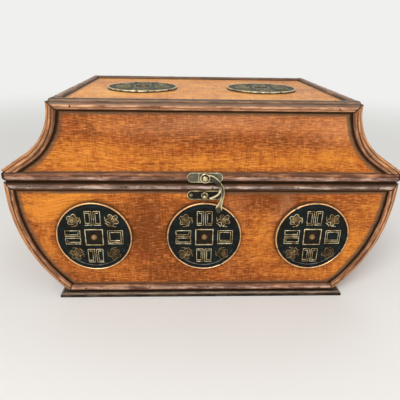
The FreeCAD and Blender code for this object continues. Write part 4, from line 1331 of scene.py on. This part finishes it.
    def tray(self) -> None:
        """Mouldings of the tray."""
        sizes, bulge, side = self.measures, self.measures.bulge, self.measures.side_width
        corners = []
        for kind, strip, upside in (("rim", Strip.SEAM, True), ("foot", Strip.LEVEL, False)):
            low, high = sizes.levels(f"tray_front_{kind}_strip")
            name = f"tray_{{}}_{kind}_strip"
            outer, inner = (high, low) if upside else (low, high)
            corner = (bulge.half_width(outer), outer), (bulge.half_width(inner, side), inner)
            corners.append(Cut.mitre(*corner))
            rail = self.level_face(corner[0][0], low)
            self.twins(name, 1, rail, high - low, strip, rail.shares(0.06, 0.30, 0.52, 0.74, 0.95),
                       (Cut.mitre(*corner, -1.0), corners[-1]))
            rail = self.level_end((bulge.half_width(low), low), (bulge.half_width(high), high))
            self.twins(name, 0, rail, high - low, strip, rail.shares(0.08, 0.5, 0.93), sink=self.sink)
        length = bulge.length
        brads = (9 * MM, 15 * MM, length * 0.36, length * 0.63, length - 17 * MM, length - 8 * MM)
        levels = Cut.level(bulge.low), Cut.level(bulge.high)
        for axis, cuts in ((1, corners[::-1]), (0, levels)):
            self.twins("tray_{}_side_strips", axis, self.curved(bulge, not axis), side, Strip.CURVED, brads,
                       cuts)

    def lid(self) -> None:
        """Mouldings of the lid."""
        sizes, hollow, side = self.measures, self.measures.hollow, self.measures.side_width
        low, high = sizes.levels("lid_front_crown_strip")
        foot, head = sizes.levels("lid_front_rim_strip")
        corner = (sizes.crown_x, high), (hollow.half_width(low, side), low)
        mitre = Cut.mitre(*corner)
        rail = self.level_face(sizes.crown_x, low)
        self.twins("lid_{}_crown_strip", 1, rail, high - low, Strip.CROWN,
                   rail.shares(0.07, 0.35, 0.61, 0.93), (Cut.mitre(*corner, -1.0), mitre))
        rail = self.level_face(sizes.seam_x, foot)
        self.twins("lid_{}_rim_strip", 1, rail, head - foot, Strip.LID_RIM,
                   rail.shares(0.03, 0.24, 0.42, 0.68, 0.97))
        rail = Rail.straight(Vector((sizes.seam_x, -sizes.face_y, foot)), BACK, 2 * sizes.face_y, UP, RIGHT)
        self.twins("lid_{}_rim_strip", 0, rail, head - foot, Strip.LID_RIM, rail.shares(0.05, 0.5, 0.95))
        rail = self.level_end((hollow.half_width(low), low), (sizes.crown_x, high))
        self.twins("lid_{}_crown_strip", 0, rail, high - low, Strip.CROWN, rail.shares(0.1, 0.5, 0.9),
                   sink=self.sink)
        slope = Cut(Vector((sizes.seam_x, 0.0, head)), Vector((-0.4, 0.0, 1.0)).normalized())
        for axis, cuts in ((1, (Cut.level(head), mitre)), (0, (slope, Cut.level(high)))):
            rail = self.curved(hollow, not axis)
            brads = (5 * MM, 11 * MM, *rail.shares(0.42, 0.71), rail.length - 12 * MM)
            self.twins("lid_{}_side_strips", axis, rail, side, Strip.CURVED, brads, cuts)

    def top(self) -> None:
        """Mouldings round the lid's top, mitred at the corners."""
        sizes, side = self.measures, self.measures.side_width
        x, y, z = sizes.crown_x, sizes.face_y, sizes.lid_top
        rising, falling = Vector((1.0, 1.0, 0.0)).normalized(), Vector((1.0, -1.0, 0.0)).normalized()
        near_left, near_right, far_right = Vector((-x, -y, z)), Vector((x, -y, z)), Vector((x, y, z))
        right = Cut(near_right, rising)
        for kind, axis, rail, cuts, strip in (
                ("long", 1, Rail.straight(near_left, RIGHT, 2 * x, BACK, UP),
                 (Cut(near_left, falling), right), Strip.TOP_FRONT),
                ("short", 0, Rail.straight(near_right, BACK, 2 * y, -RIGHT, UP),
                 (right, Cut(far_right, falling)), Strip.TOP)):
            shape = Shape("along", "across", "joint")
            self.sweep(shape, rail, side, *cuts)
            shape.reflect(axis)
            shape.piece(f"lid_top_{kind}_mouldings", self.woods[strip], Body.LID, Slot.DARK,
                        [f"lid_top_{kind}_strips"])
            self.nail(Body.LID, rail, side, rail.shares(0.08, 0.37, 0.64, 0.92), [(), (axis,)])

    def build(self) -> None:
        """Make every moulding and the brads that hold them."""
        self.tray()
        self.lid()
        self.top()
        steel = Metal.BRAD.material()
        for body, shape in self.brads.items():
            shape.piece(f"{body.value}_brads", steel, body, Slot.BRASS)


# --- medallions --------------------------------------------------------------------------
def key_spiral(half_width: float, half_height: float, pitch: float, legs: int) -> Stroke:
    """Square spiral that winds inwards.

    Args:
        half_width: Half its width.
        half_height: Half its height.
        pitch: Distance between neighbouring turns.
        legs: Number of straight legs.

    Returns:
        Its points and that it is open.
    """
    left, right, low, high = -half_width, half_width, -half_height, half_height
    u, v = left, low
    points = [(u, v)]
    for leg in range(legs):
        if leg % 4 == 0:
            u, right = right, right - pitch
        elif leg % 4 == 1:
            v, high = high, high - pitch
        elif leg % 4 == 2:
            u, left = left, left + pitch
        else:
            v = low = low + pitch
        points.append((u, v))
    return points, False


def petal_ring(radius: float, petals: int, swell: float, turn: float = 0.0) -> Stroke:
    """Closed outline with rounded lobes.

    Args:
        radius: Its radius.
        petals: Number of lobes.
        swell: How far they stand out, as a share of the radius.
        turn: Its turn, in radians.

    Returns:
        Its points and that it is closed.
    """
    points = []
    for index in range(petals * 9):
        angle = 2 * math.pi * index / (petals * 9)
        reach = radius * (1 + swell * (abs(math.cos(petals * angle / 2)) * 2 - 1.2))
        points.append((reach * math.cos(angle + turn), reach * math.sin(angle + turn)))
    return points, True


def curl(radii: Pair, start: float, sweep: float, middle: Pair = (0.0, 0.0)) -> Stroke:
    """Open scroll.

    Args:
        radii: Radius at its start and at its end.
        start: Angle where it starts, in degrees.
        sweep: Angle that it turns through, in degrees.
        middle: Its middle.

    Returns:
        Its points and that it is open.
    """
    count = max(6, round(abs(sweep) / 20))
    points = []
    for index in range(count + 1):
        radius = radii[0] + (radii[1] - radii[0]) * index / count
        angle = math.radians(start + sweep * index / count)
        points.append((middle[0] + radius * math.cos(angle), middle[1] + radius * math.sin(angle)))
    return points, False


@dataclass
class Relief:
    """Raised lines and swellings on a flat face, in millimetres about a place on it."""

    shape: Shape
    seat: Seat
    base: float
    tall: float
    line: float
    middle: Pair = (0.0, 0.0)
    turn: float = 0.0
    fade: float = 1.0

    def spots(self, points: Iterable[Pair], turn: float = 0.0, flip: bool = False) -> list[Vector]:
        """Where the points of a motif go on the face.

        Args:
            points: The motif's points.
            turn: Turn beyond the motif's own, in degrees.
            flip: Whether it is reflected left to right.

        Returns:
            Their places.
        """
        angle, way = math.radians(self.turn + turn), -1.0 if flip else 1.0
        cos, sin = math.cos(angle), math.sin(angle)
        return [Vector((self.middle[0] + way * (u * cos - v * sin), self.middle[1] + u * sin + v * cos))
                for u, v in points]

    def ridge(self, stroke: Stroke, turn: float = 0.0, line: float = 0.0, flip: bool = False) -> None:
        """Raise a line.

        Args:
            stroke: Points of its middle, and whether it is closed.
            turn: Turn beyond the motif's own, in degrees.
            line: Its width; the relief's own if 0.
            flip: Whether it is reflected left to right.
        """
        closed = stroke[1]
        spots = self.spots(stroke[0], turn, flip)
        half, count = (line or self.line) / 2, len(spots)
        rows = []
        for index, spot in enumerate(spots):
            before = spots[index - 1] if closed or index else None
            after = spots[(index + 1) % count] if closed or index < count - 1 else None
            first = (spot - before).normalized() if before else (after - spot).normalized()
            second = (after - spot).normalized() if after else first
            side = Vector((-second.y, second.x))
            normal = (Vector((-first.y, first.x)) + side).normalized()
            reach = half * min(1.6, 1 / max(0.3, normal.dot(side)))
            if not closed and index in (0, count - 1):
                spot = spot + (first if index else -second) * half
            row = []
            for share, high, wear in ((-1, 0, 0.1), (-0.62, 0.8, 1.1), (0, 1, 1.3), (0.62, 0.8, 1.1),
                                      (1, 0, 0.1)):
                place = spot + normal * (share * reach)
                row.append((self.seat.at(*place, self.base + self.tall * high), (wear * self.fade,)))
            rows.append(row)
        if closed:
            rows.append(rows[0])
        self.shape.sheet(rows, not closed)

    def mound(self, outline: Stroke, height: float) -> None:
        """Fill an outline with a low swelling.

        Args:
            outline: Closed outline.
            height: Height in the middle.
        """
        middle = Vector(self.middle)
        spots = self.spots(outline[0])
        self.shape.sheet([[(self.seat.at(*(middle + (spot - middle) * share), self.base + height * high),
                            (wear * self.fade,)) for spot in spots]
                          for share, high, wear in ((1.0, 0.0, 0.1), (0.85, 0.5, 0.35), (0.6, 0.8, 0.5),
                                                    (0.3, 0.95, 0.6), (0.0, 1.0, 0.7))])

    def cloud(self) -> None:
        """Cloud with a lobed outline and two scrolls."""
        outline = petal_ring(5.0, 5, 0.22, 0.3)
        self.mound(outline, 0.45)
        self.ridge(outline)
        for way in (1, -1):
            self.ridge(curl((2.1, 0.5), 90 * way, 380 * way, (0.6, 1.9 * way)), line=0.6, flip=way < 0)
        for start in (120, 200):
            self.ridge(curl((6.9, 6.3), start, 46))

    def blossom(self) -> None:
        """Five-petalled flower with a heart, rays and two leaves."""
        outline = petal_ring(4.8, 5, 0.34)
        self.mound(outline, 0.42)
        self.ridge(outline)
        self.ridge(petal_ring(1.4, 3, 0.05), line=0.6)
        for petal in range(5):
            self.ridge(([(2.2, 0.0), (4.0, 0.0)], False), 36 + 72 * petal, 0.5)
        for start in (112, 160, -112, -160):
            self.ridge(curl((7.2, 6.2), start, math.copysign(30, start)))


@dataclass
class Medallion:
    """Cast coin-like disc with a rolled rim, a square window and worn ornament, in millimetres."""

    seat: Seat
    radius: float
    thick: float = 1.6
    relief: float = 0.6
    rim: float = 1.35
    inner_ring: float = 0.85
    square: float = 17.0
    square_line: float = 1.15
    block: float = 14.4
    block_place: float = 19.4
    motif_place: float = 17.7
    line: float = 0.72
    pitch: float = 1.75
    nail_radius: float = 2.85
    nail_dome: float = 1.5

    def disc(self) -> Shape:
        """Disc with its rolled rim, inner ring and sunk field.

        Returns:
            Its mesh.
        """
        radius, rim, face, top = self.radius, self.rim, self.thick, self.thick + self.relief
        ring = radius * self.inner_ring
        shape = Shape("wear")
        lathe(shape, self.seat, (
            (0.0, 0.0, 0.0), (radius - 0.2, 0.0, 0.1), (radius, 0.3, 0.2),
            (radius - 0.06 * rim, top - 0.9, 1.2), (radius - 0.3 * rim, top - 0.2, 1.8),
            (radius - 0.55 * rim, top, 1.9),
            (radius - 0.85 * rim, top - 0.12, 1.8), (radius - rim, face + 0.1, 0.6),
            (radius - 1.35 * rim, face - 0.15, 0.0), (ring + 0.9, face - 0.12, 0.0),
            (ring + 0.45, face + 0.2, 0.3), (ring, face + 0.24, 0.34), (ring - 0.6, face, 0.0),
            (ring * 0.6, face, 0.0), (0.0, face, 0.0)), 120)
        # Painted highlight: the inner ring's step is brightened on its lower side, where it faces up into
        # the light, and dimmed above.
        for index, (point, (wear,)) in enumerate(zip(shape.points, shape.values)):
            if 0.25 < wear < 0.4:
                low_side = max(0.0, (self.seat.origin - point).dot(self.seat.up) / (radius * MM))
                shape.values[index] = (wear * (0.3 + 2.0 * low_side),)
        return shape

    def ornament(self) -> Shape:
        """Square window, four key frets and four flower or cloud reliefs.

        Returns:
            Its mesh.
        """
        relief = Relief(Shape("wear"), self.seat, self.thick - 0.05, self.relief, self.line)
        half = (self.square - self.square_line) / 2
        window = [(-half, -half), (half, -half), (half, half), (-half, half)]
        relief.ridge((window, True), line=self.square_line)
        side = (self.block - self.line) / 2
        gap = 0.5 * (side - self.pitch * 0.5)
        shift = side - gap
        tall, low = key_spiral(gap, side, self.pitch, 7), key_spiral(side, gap, self.pitch, 6)
        twin = (tall, (-shift, 0.0), False), (tall, (shift, 0.0), True)
        stack = (low, (0.0, shift), False), (low, (0.0, -shift), True)
        single = ((key_spiral(side, side, self.pitch, 9), (0.0, 0.0), False),)
        for fret, right, up in ((twin, 0, 1), (stack, -1, 0), (single, 1, 0), (twin, 0, -1)):
            for stroke, (aside, lift), flip in fret:
                middle = (right * self.block_place + aside, up * self.block_place + lift)
                replace(relief, middle=middle).ridge(stroke, flip=flip)
        for draw, right, up, fade in ((Relief.cloud, -1, 1, 0.95), (Relief.blossom, 1, 1, 0.9),
                                      (Relief.blossom, -1, -1, 0.7), (Relief.cloud, 1, -1, 0.5)):
            draw(replace(relief, middle=(right * self.motif_place, up * self.motif_place),
                         turn=math.degrees(math.atan2(up, right)), fade=fade))
        return relief.shape

    def window_panel(self) -> Shape:
        """Recessed brown panel behind the nail, inside the square window.

        Returns:
            Its mesh.
        """
        shape = Shape("wear")
        half = self.square / 2 - self.square_line
        corners = ((-1, -1), (0, -1), (1, -1), (1, 0), (1, 1), (0, 1), (-1, 1), (-1, 0))
        shape.sheet([[(self.seat.at(u * half * share, v * half * share, self.thick + high), (wear,))
                      for u, v in corners]
                     for share, high, wear in ((1.0, 0.12, 0.05), (0.86, 0.06, 0.35), (0.5, 0.04, 0.5),
                                               (0.0, 0.04, 0.5))], False)
        return shape

    def nail(self) -> Shape:
        """Domed nail in the middle.

        Returns:
            Its mesh.
        """
        shape = Shape("wear")
        radius, base = self.nail_radius, self.thick + 0.02
        foot = [(0.0, base - 0.6, 0.0), (0.9 * radius, base - 0.6, 0.0), (radius, base, 0.1)]
        lathe(shape, self.seat, [*foot, *dome(radius, base, self.nail_dome, (0.5, 1.2))[1:]], 36)
        return shape


@dataclass
class Medallions:
    """Three medallions on the tray's front and two on the lid's top."""

    names: tuple[str, ...] = ("front_left", "front_middle", "front_right", "top_left", "top_right")
    nudges: tuple[float, ...] = (0.0, 0.5 * MM, 1.1 * MM, 0.0, 0.0)
    droop: float = 0.8 * MM

    def build(self) -> None:
        """Make every medallion and its nail."""
        looks = {"front": (Body.TRAY, Metal.COIN.material(), Metal.RELIEF.material()),
                 "top": (Body.LID, Metal.PALE_TOP_COIN.material(), Metal.PALE_TOP_RELIEF.material())}
        panel, nail = Metal.WINDOW.material(), Metal.COIN_NAIL.material()
        for name, nudge in zip(self.names, self.nudges):
            node, place = f"{name}_medallion", name.split("_")[0]
            middle, half = extent(node)
            seat = Seat(middle + Vector((nudge, half.y, -self.droop)))
            if place == "top":
                seat = Seat(middle - UP * half.z, up=BACK, out=UP)
            coin = Medallion(seat, half.x / MM)
            body, skin, line = looks[place]
            coin.disc().piece(f"{node}_disc", skin, body, Slot.COIN, [node], 60)
            coin.ornament().piece(f"{node}_relief", line, body, Slot.COIN, sharp=60)
            coin.window_panel().piece(f"{node}_window", panel, body, Slot.COIN)
            coin.nail().piece(f"{node}_nail", nail, body, Slot.BRASS, [f"{place}_medallion_nails"])


# --- latch -------------------------------------------------------------------------------
class Station(NamedTuple):
    """Place along a bar, in millimetres from the hook's pivot, with its twist in degrees."""

    right: float
    up: float
    width: float
    twist: float = 0.0
    # share of wear on the inner edge; low where a painted shade lies along it
    inner: float = 1.0
    # added to the wear mark: painted highlight where positive, painted shade where negative
    fill: float = 0.0


def smoothed(stations: Sequence[Station], steps: int = 7) -> list[Station]:
    """Catmull-Rom curve through stations.

    Args:
        stations: Places that it passes through.
        steps: Places from one to the next.

    Returns:
        The places along it.
    """
    track = []
    last = len(stations) - 1
    for index in range(last):
        four = [stations[min(max(index + shift, 0), last)] for shift in (-1, 0, 1, 2)]
        for step in range(steps):
            t = step / steps
            track.append(Station(*(
                b + 0.5 * t * (c - a + t * (2 * a - 5 * b + 4 * c - d + t * (3 * (b - c) + d - a)))
                for a, b, c, d in zip(*four))))
    return [*track, stations[-1]]


@dataclass
class Latch:
    """Swing-hook latch: plate, hook and rivet on the lid, plate and post on the tray.

    The two heights are in metres, and the other sizes in millimetres.
    """

    pivot_z: float = extent("latch_plate")[0].z
    post_z: float = extent("catch_plate")[0].z
    eye: float = 4.3
    border: float = 1.1
    nail_inset: float = 3.6
    rib_place: float = -5.4

    def seat(self, node: str, height: float) -> Seat:
        """Seat on the back plane of a construction node, level with a height."""
        return Seat(Vector((0.0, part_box(node)[1].y, height)))

    def plate(self, node: str, height: float, thick: float = 1.0) -> Shape:
        """Lobed plate with a raised border round a sunk, stippled field.

        Args:
            node: Construction node that it stands for.
            height: Height of its middle, in metres.
            thick: Its thickness.

        Returns:
            Its mesh.
        """
        half = extent(node)[1] / MM
        radius, straight = half.z, half.x - half.z
        seat, border, field_out = self.seat(node, height), self.border, thick - 0.5
        shape = Shape("wear")
        lathe(shape, seat, (
            (0.0, 0.0, 0.0), (radius - 0.1, 0.0, 0.2), (radius, 0.15, 0.6), (radius, thick - 0.25, 0.85),
            (radius - 0.22 * border, thick, 1.0), (radius - 0.75 * border, thick, 0.95),
            (radius - border, thick - 0.3, 0.35), (radius - 1.25 * border, thick - 0.48, 0.1),
            (0.55 * radius, field_out, 0.2), (0.2 * radius, field_out, 0.12), (0.0, field_out, 0.1)),
            64, half_length=straight)
        for side in (-1, 1):
            lathe(shape, seat, ((1.7, field_out, 0.2), (1.6, thick - 0.2, 0.7), (1.25, thick - 0.18, 0.7),
                                (1.2, field_out, 0.0)), 28, middle=side * (half.x - self.nail_inset))
        return shape

    def nails(self, node: str, height: float, base: float = 0.5) -> Shape:
        """Two small slotless domed nails in a plate.

        Args:
            node: The plate's construction node.
            height: Height of its middle, in metres.
            base: How far out they sit.

        Returns:
            Their mesh.
        """
        shape = Shape("wear")
        for side in (-1, 1):
            lathe(shape, self.seat(node, height), (
                (0.0, base - 0.3, 0.0), (1.05, base - 0.3, 0.0), (1.1, base, 0.3), (0.85, base + 0.28, 0.55),
                (0.45, base + 0.4, 0.7), (0.0, base + 0.44, 0.7)), 24,
                middle=side * (extent(node)[1].x / MM - self.nail_inset))
        return shape

    def band(self, shape: Shape, seat: Seat, stations: Sequence[Station], thick: float) -> None:
        """Sweep a flat bar with raised bright edges through stations.

        Args:
            shape: Mesh that it is added to.
            seat: Seat in its middle plane.
            stations: Places along its middle line.
            thick: Its thickness.
        """
        section = ((-1.0, -0.2, 0.4), (-0.94, 0.75, 1.0), (-0.80, 1.0, 1.15), (-0.62, 0.7, 0.4),
                   (-0.3, 0.45, 0.12), (0.3, 0.45, 0.12), (0.62, 0.7, 0.4), (0.80, 1.0, 1.25),
                   (0.94, 0.75, 1.1), (1.0, -0.2, 0.5), (0.9, -1.0, 0.1), (-0.9, -1.0, 0.1))
        track = smoothed(stations)
        spots = [seat.at(one.right, one.up) for one in track]
        rows = []
        for index, one in enumerate(track):
            ahead = (spots[min(index + 1, len(spots) - 1)] - spots[max(index - 1, 0)]).normalized()
            side, turn = seat.out.cross(ahead).normalized(), math.radians(one.twist)
            wide = side * math.cos(turn) + seat.out * math.sin(turn)
            deep = seat.out * math.cos(turn) - side * math.sin(turn)
            narrow = max(0.0, min(1.0, (one.width - 1.4) / 2.0))
            row = []
            for across, high, wear in section:
                high = high if high < 0 else 1.0 - (1.0 - high) * narrow
                place = spots[index] + (wide * (across * one.width) + deep * (high * thick)) * (MM / 2)
                # The inner edge's wear is scaled down where it lies in painted shade, and the fill adds
                # painted highlight or shade.
                wear = wear * (one.inner if across < 0 else 1.0)
                row.append((place, (wear + (1.0 - wear) * 0.6 * (1 - narrow) + one.fill,)))
            rows.append(row)
        shape.sheet(rows)

    def hook(self) -> Shape:
        """Hook: eye, crescent arm that runs on into a twisted thumb tab, and a pointed prong.

        Returns:
            Its mesh.
        """
        middle, half = extent("latch_hook")
        thick, eye = 2 * half.y / MM, self.eye
        shape = Shape("wear")
        lathe(shape, self.seat("latch_hook", self.pivot_z), (
            (1.4, 0.0, 0.0), (eye - 0.2, 0.0, 0.2), (eye, 0.25, 0.8), (eye, thick - 0.3, 1.1),
            (eye - 0.3, thick - 0.05, 1.2), (eye - 0.75, thick, 0.9), (eye - 1.05, thick - 0.35, 0.2),
            (1.6, thick - 0.4, 0.05), (1.4, thick - 0.4, 0.0), (1.4, 0.0, 0.0)), 48)
        post = (self.post_z - self.pivot_z) / MM
        tip = (middle.z - half.z - self.pivot_z) / MM
        # Arm rows: right, up, width, twist, inner and fill; the fill paints highlights on the twisted tab
        # and painted shade towards its tip, and a low inner share paints shade along the arm's inner edge.
        arm = ((2.0, 0.3, 6.6, 0.0, 0.5), (5.0, -0.2, 6.6, 0.0, 0.25), (8.3, -1.4, 5.2, 0.0, 0.2),
               (11.7, -4.2, 3.8, 0.0, 0.3), (14.4, -8.0, 3.5, 0.0, 0.6, 0.1),
               (15.6, -12.2, 3.4, 0.0, 0.7, 0.1), (15.7, -16.0, 2.9, 12.0, 0.8, 0.2),
               (15.2, -20.0, 2.9, 30.0, 1.0, 0.6),
               (14.2, -23.6, 3.7, 34.0, 1.0, 0.7), (13.2, -26.8, 5.3, 20.0, 1.0, 0.5),
               (12.8, -28.8, 6.2, 6.0, 0.6, -0.2), (12.8, -30.4, 5.6, 0.0, 0.4, -0.5),
               (12.9, -31.5, 4.0, 0.0, 0.3, -0.9), (13.0, tip + 0.1, 1.4, 0.0, 0.3, -1.0))
        # Prong rows: its fill paints a highlight along the whole crescent.
        prong = ((13.4, -7.6, 1.8), (13.5, -10.4, 1.7, 0.0, 1.0, 0.3), (12.7, -13.2, 1.5, 0.0, 1.0, 0.6),
                 (10.8, -15.6, 1.4, 0.0, 1.0, 0.7), (8.2, -17.2, 1.4, 0.0, 1.0, 0.7),
                 (5.6, post - 0.7, 1.5, 0.0, 1.0, 0.9), (4.1, post - 0.9, 1.1, 0.0, 1.0, 0.9))
        seat = Seat(Vector((0.0, middle.y, self.pivot_z)))
        for bar, share in ((arm, 0.96), (prong, 0.84)):
            self.band(shape, seat, [Station(*row) for row in bar], share * thick)
        return shape

    def rivet(self) -> Shape:
        """Domed rivet in the hook's eye.

        Returns:
            Its mesh.
        """
        shape = Shape("wear")
        seat = Seat(Vector((0.0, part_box("latch_rivet")[0].y + 1.3 * MM, self.pivot_z)))
        lathe(shape, seat, [(0.0, -1.7, 0.0), (1.25, -1.7, 0.0), (1.25, -0.2, 0.0), (2.35, -0.1, 0.2),
                            (2.5, 0.1, 0.6), *dome(2.5, 0.1, 1.2, (0.75, 1.05), 7)[1:]], 32)
        return shape

    def post(self) -> Shape:
        """Catch post: flared foot, waist and domed knob.

        Returns:
            Its mesh.
        """
        shape = Shape("wear")
        reach = 2 * extent("catch_post")[1].y / MM
        lathe(shape, self.seat("catch_post", self.post_z), [
            (0.0, 0.0, 0.0), (3.0, 0.0, 0.3), (3.0, 0.55, 1.1), (2.6, 0.85, 1.0), (1.9, 1.2, 0.4),
            (1.4, 2.0, 0.2), (1.3, 3.6, 0.3), (1.45, reach - 2.9, 0.5), (2.1, reach - 2.6, 0.7),
            *dome(2.5, reach - 1.9, 1.9, (0.7, 1.1), start=-0.35)], 36)
        return shape

    def build(self) -> None:
        """Make all pieces of the latch and dress the hinges."""
        plate = self.plate("latch_plate", self.pivot_z)
        seat = self.seat("latch_plate", self.pivot_z)
        lathe(plate, seat, ((0.0, 0.6, 0.0), (3.6, 0.6, 0.2), (3.6, 1.5, 0.6), (3.3, 1.7, 0.6),
                            (0.0, 1.7, 0.2)), 36)
        half = extent("latch_plate")[1].z / MM - 0.5
        rib = [(self.rib_place, -half), (self.rib_place, half)]
        Relief(plate, seat, base=0.55, tall=0.55, line=1.0).ridge((rib, False))
        plate.piece("latch_plate_cast", Metal.PALE_BRASS.material(), Body.LID, Slot.BRASS, ["latch_plate"])
        catch, dim = self.plate("catch_plate", self.post_z), Metal.SHADED_BRASS.material()
        catch.piece("catch_plate_cast", dim, Body.TRAY, Slot.BRASS, ["catch_plate"])
        brass = Metal.BRASS.material()
        for shape, name, body, node, sharp in (
                (self.hook(), "swing_hook", Body.HOOK, "latch_hook", 50.0),
                (self.rivet(), "swing_hook_rivet", Body.LID, "latch_rivet", 38.0),
                (self.post(), "catch_post_turned", Body.TRAY, "catch_post", 38.0),
                (self.nails("latch_plate", self.pivot_z), "latch_plate_round_nails", Body.LID,
                 "latch_plate_nails", 38.0),
                (self.nails("catch_plate", self.post_z), "catch_plate_round_nails", Body.TRAY,
                 "catch_plate_nails", 38.0)):
            shape.piece(name, brass, body, Slot.BRASS, [node], sharp)
        plain = Metal.HINGE_BRASS.material(False)
        for part in ("lid_leaf", "tray_leaf", "pin"):
            dress(f"left_hinge_{part}", plain)
            dress(f"right_hinge_{part}", plain)
        dress("hinge_lid_nails", plain)
        dress("hinge_tray_nails", plain)


# --- studio ------------------------------------------------------------------------------
@dataclass
class Studio:
    """Pale floor, soft lamps and camera."""

    camera_place: tuple[float, float, float] = (-0.0175, -0.4187, 0.2418)
    camera_yaw: float = -0.0411
    camera_pitch: float = 0.4012
    camera_roll: float = 0.0177
    focal_share: float = 397.6 / 400
    rings: tuple[float, ...] = (0.0, 0.3, 0.8, 1.6, 4.0)
    pale: Shade = (240, 240, 238)
    floor_shade: Shade = (226, 225, 222)
    sky: float = 0.55
    lamps: tuple[tuple[str, tuple[float, float, float], float, float], ...] = (
        ("key", (-0.45, -1.1, 1.1), 0.7, 18.0), ("fill", (1.1, -1.1, 0.6), 0.9, 5.5),
        ("rim", (0.5, 0.7, 1.5), 0.8, 3.0))

    def camera(self) -> None:
        """Camera in front of the chest, a little to its left and above it."""
        data = bpy.data.cameras.new("camera")
        data.sensor_width = 36.0
        data.lens = data.sensor_width * self.focal_share
        data.clip_start = 0.01
        data.clip_end = 50.0
        turns = ((self.camera_yaw, "Z"), (math.pi / 2 - self.camera_pitch, "X"), (self.camera_roll, "Z"))
        placed = Matrix.Translation(self.camera_place)
        for angle, axis in turns:
            placed = placed @ Matrix.Rotation(angle, 4, axis)
        made = show("camera", data)
        made.matrix_world = placed
        bpy.context.scene.camera = made

    def floor(self) -> None:
        """Round pale floor that fades into the background."""
        turns = [2 * math.pi * index / 64 for index in range(64)]
        shape = Shape()
        shape.sheet([[(Vector((radius * math.cos(a), radius * math.sin(a), 0.0)), ()) for a in turns]
                     for radius in self.rings], False)
        mesh = bpy.data.meshes.new("floor")
        mesh.from_pydata(shape.points, [], shape.faces)
        graph = Graph("pale_floor")
        x, y, _ = graph.place()
        cloth = graph.noise(graph.vector(x, y, 0.0), 3 * MM)
        matt = graph.surface({"Base Color": paint(self.floor_shade), "Roughness": 0.7,
                              "Normal": graph.bump(cloth * (0.05 * MM))})
        far = graph.add("Emission", inputs={"Color": paint(self.pale), "Strength": 1.0})
        ray = graph.add("LightPath", output="Is Camera Ray")
        fade = ((x ** 2.0 + y ** 2.0) ** 0.5).rise(0.45, 1.5) * ray.most(ray.peer("Is Glossy Ray"))
        mesh.materials.append(graph.end(graph.add("MixShader", inputs={0: fade, 1: matt, 2: far})))
        show("floor", mesh)

    def world(self) -> None:
        """Even pale surroundings, as bright as the floor where they are seen."""
        graph = Graph("surroundings", True)
        ray = graph.add("LightPath", output="Is Camera Ray")
        shades = [graph.add("Background", inputs={"Color": paint(self.pale), "Strength": strength})
                  for strength in (self.sky, 1.0)]
        seen = ray.most(ray.peer("Is Glossy Ray"))
        bpy.context.scene.world = graph.end(
            graph.add("MixShader", inputs={0: seen, 1: shades[0], 2: shades[1]}))

    def build(self) -> None:
        """Set the whole studio up, with its lamps aimed at the chest."""
        self.camera()
        self.floor()
        self.world()
        for name, place, size, power in self.lamps:
            data = bpy.data.lights.new(name, "AREA")
            data.size = size
            data.energy = power
            made = show(name, data)
            made.location = place
            made.rotation_euler = (UP * 0.09 - made.location).to_track_quat("-Z", "Y").to_euler()
        bpy.context.scene.view_settings.view_transform = "Standard"


def main() -> None:
    """Build the chest's looks in order."""
    logging.basicConfig(level=logging.INFO, format="%(name)s: %(message)s")
    Studio().build()
    measures = Measures()
    Woodwork(measures).dress()
    Mouldings(measures).build()
    Medallions().build()
    Latch().build()


if __name__ == "__main__":
    main()
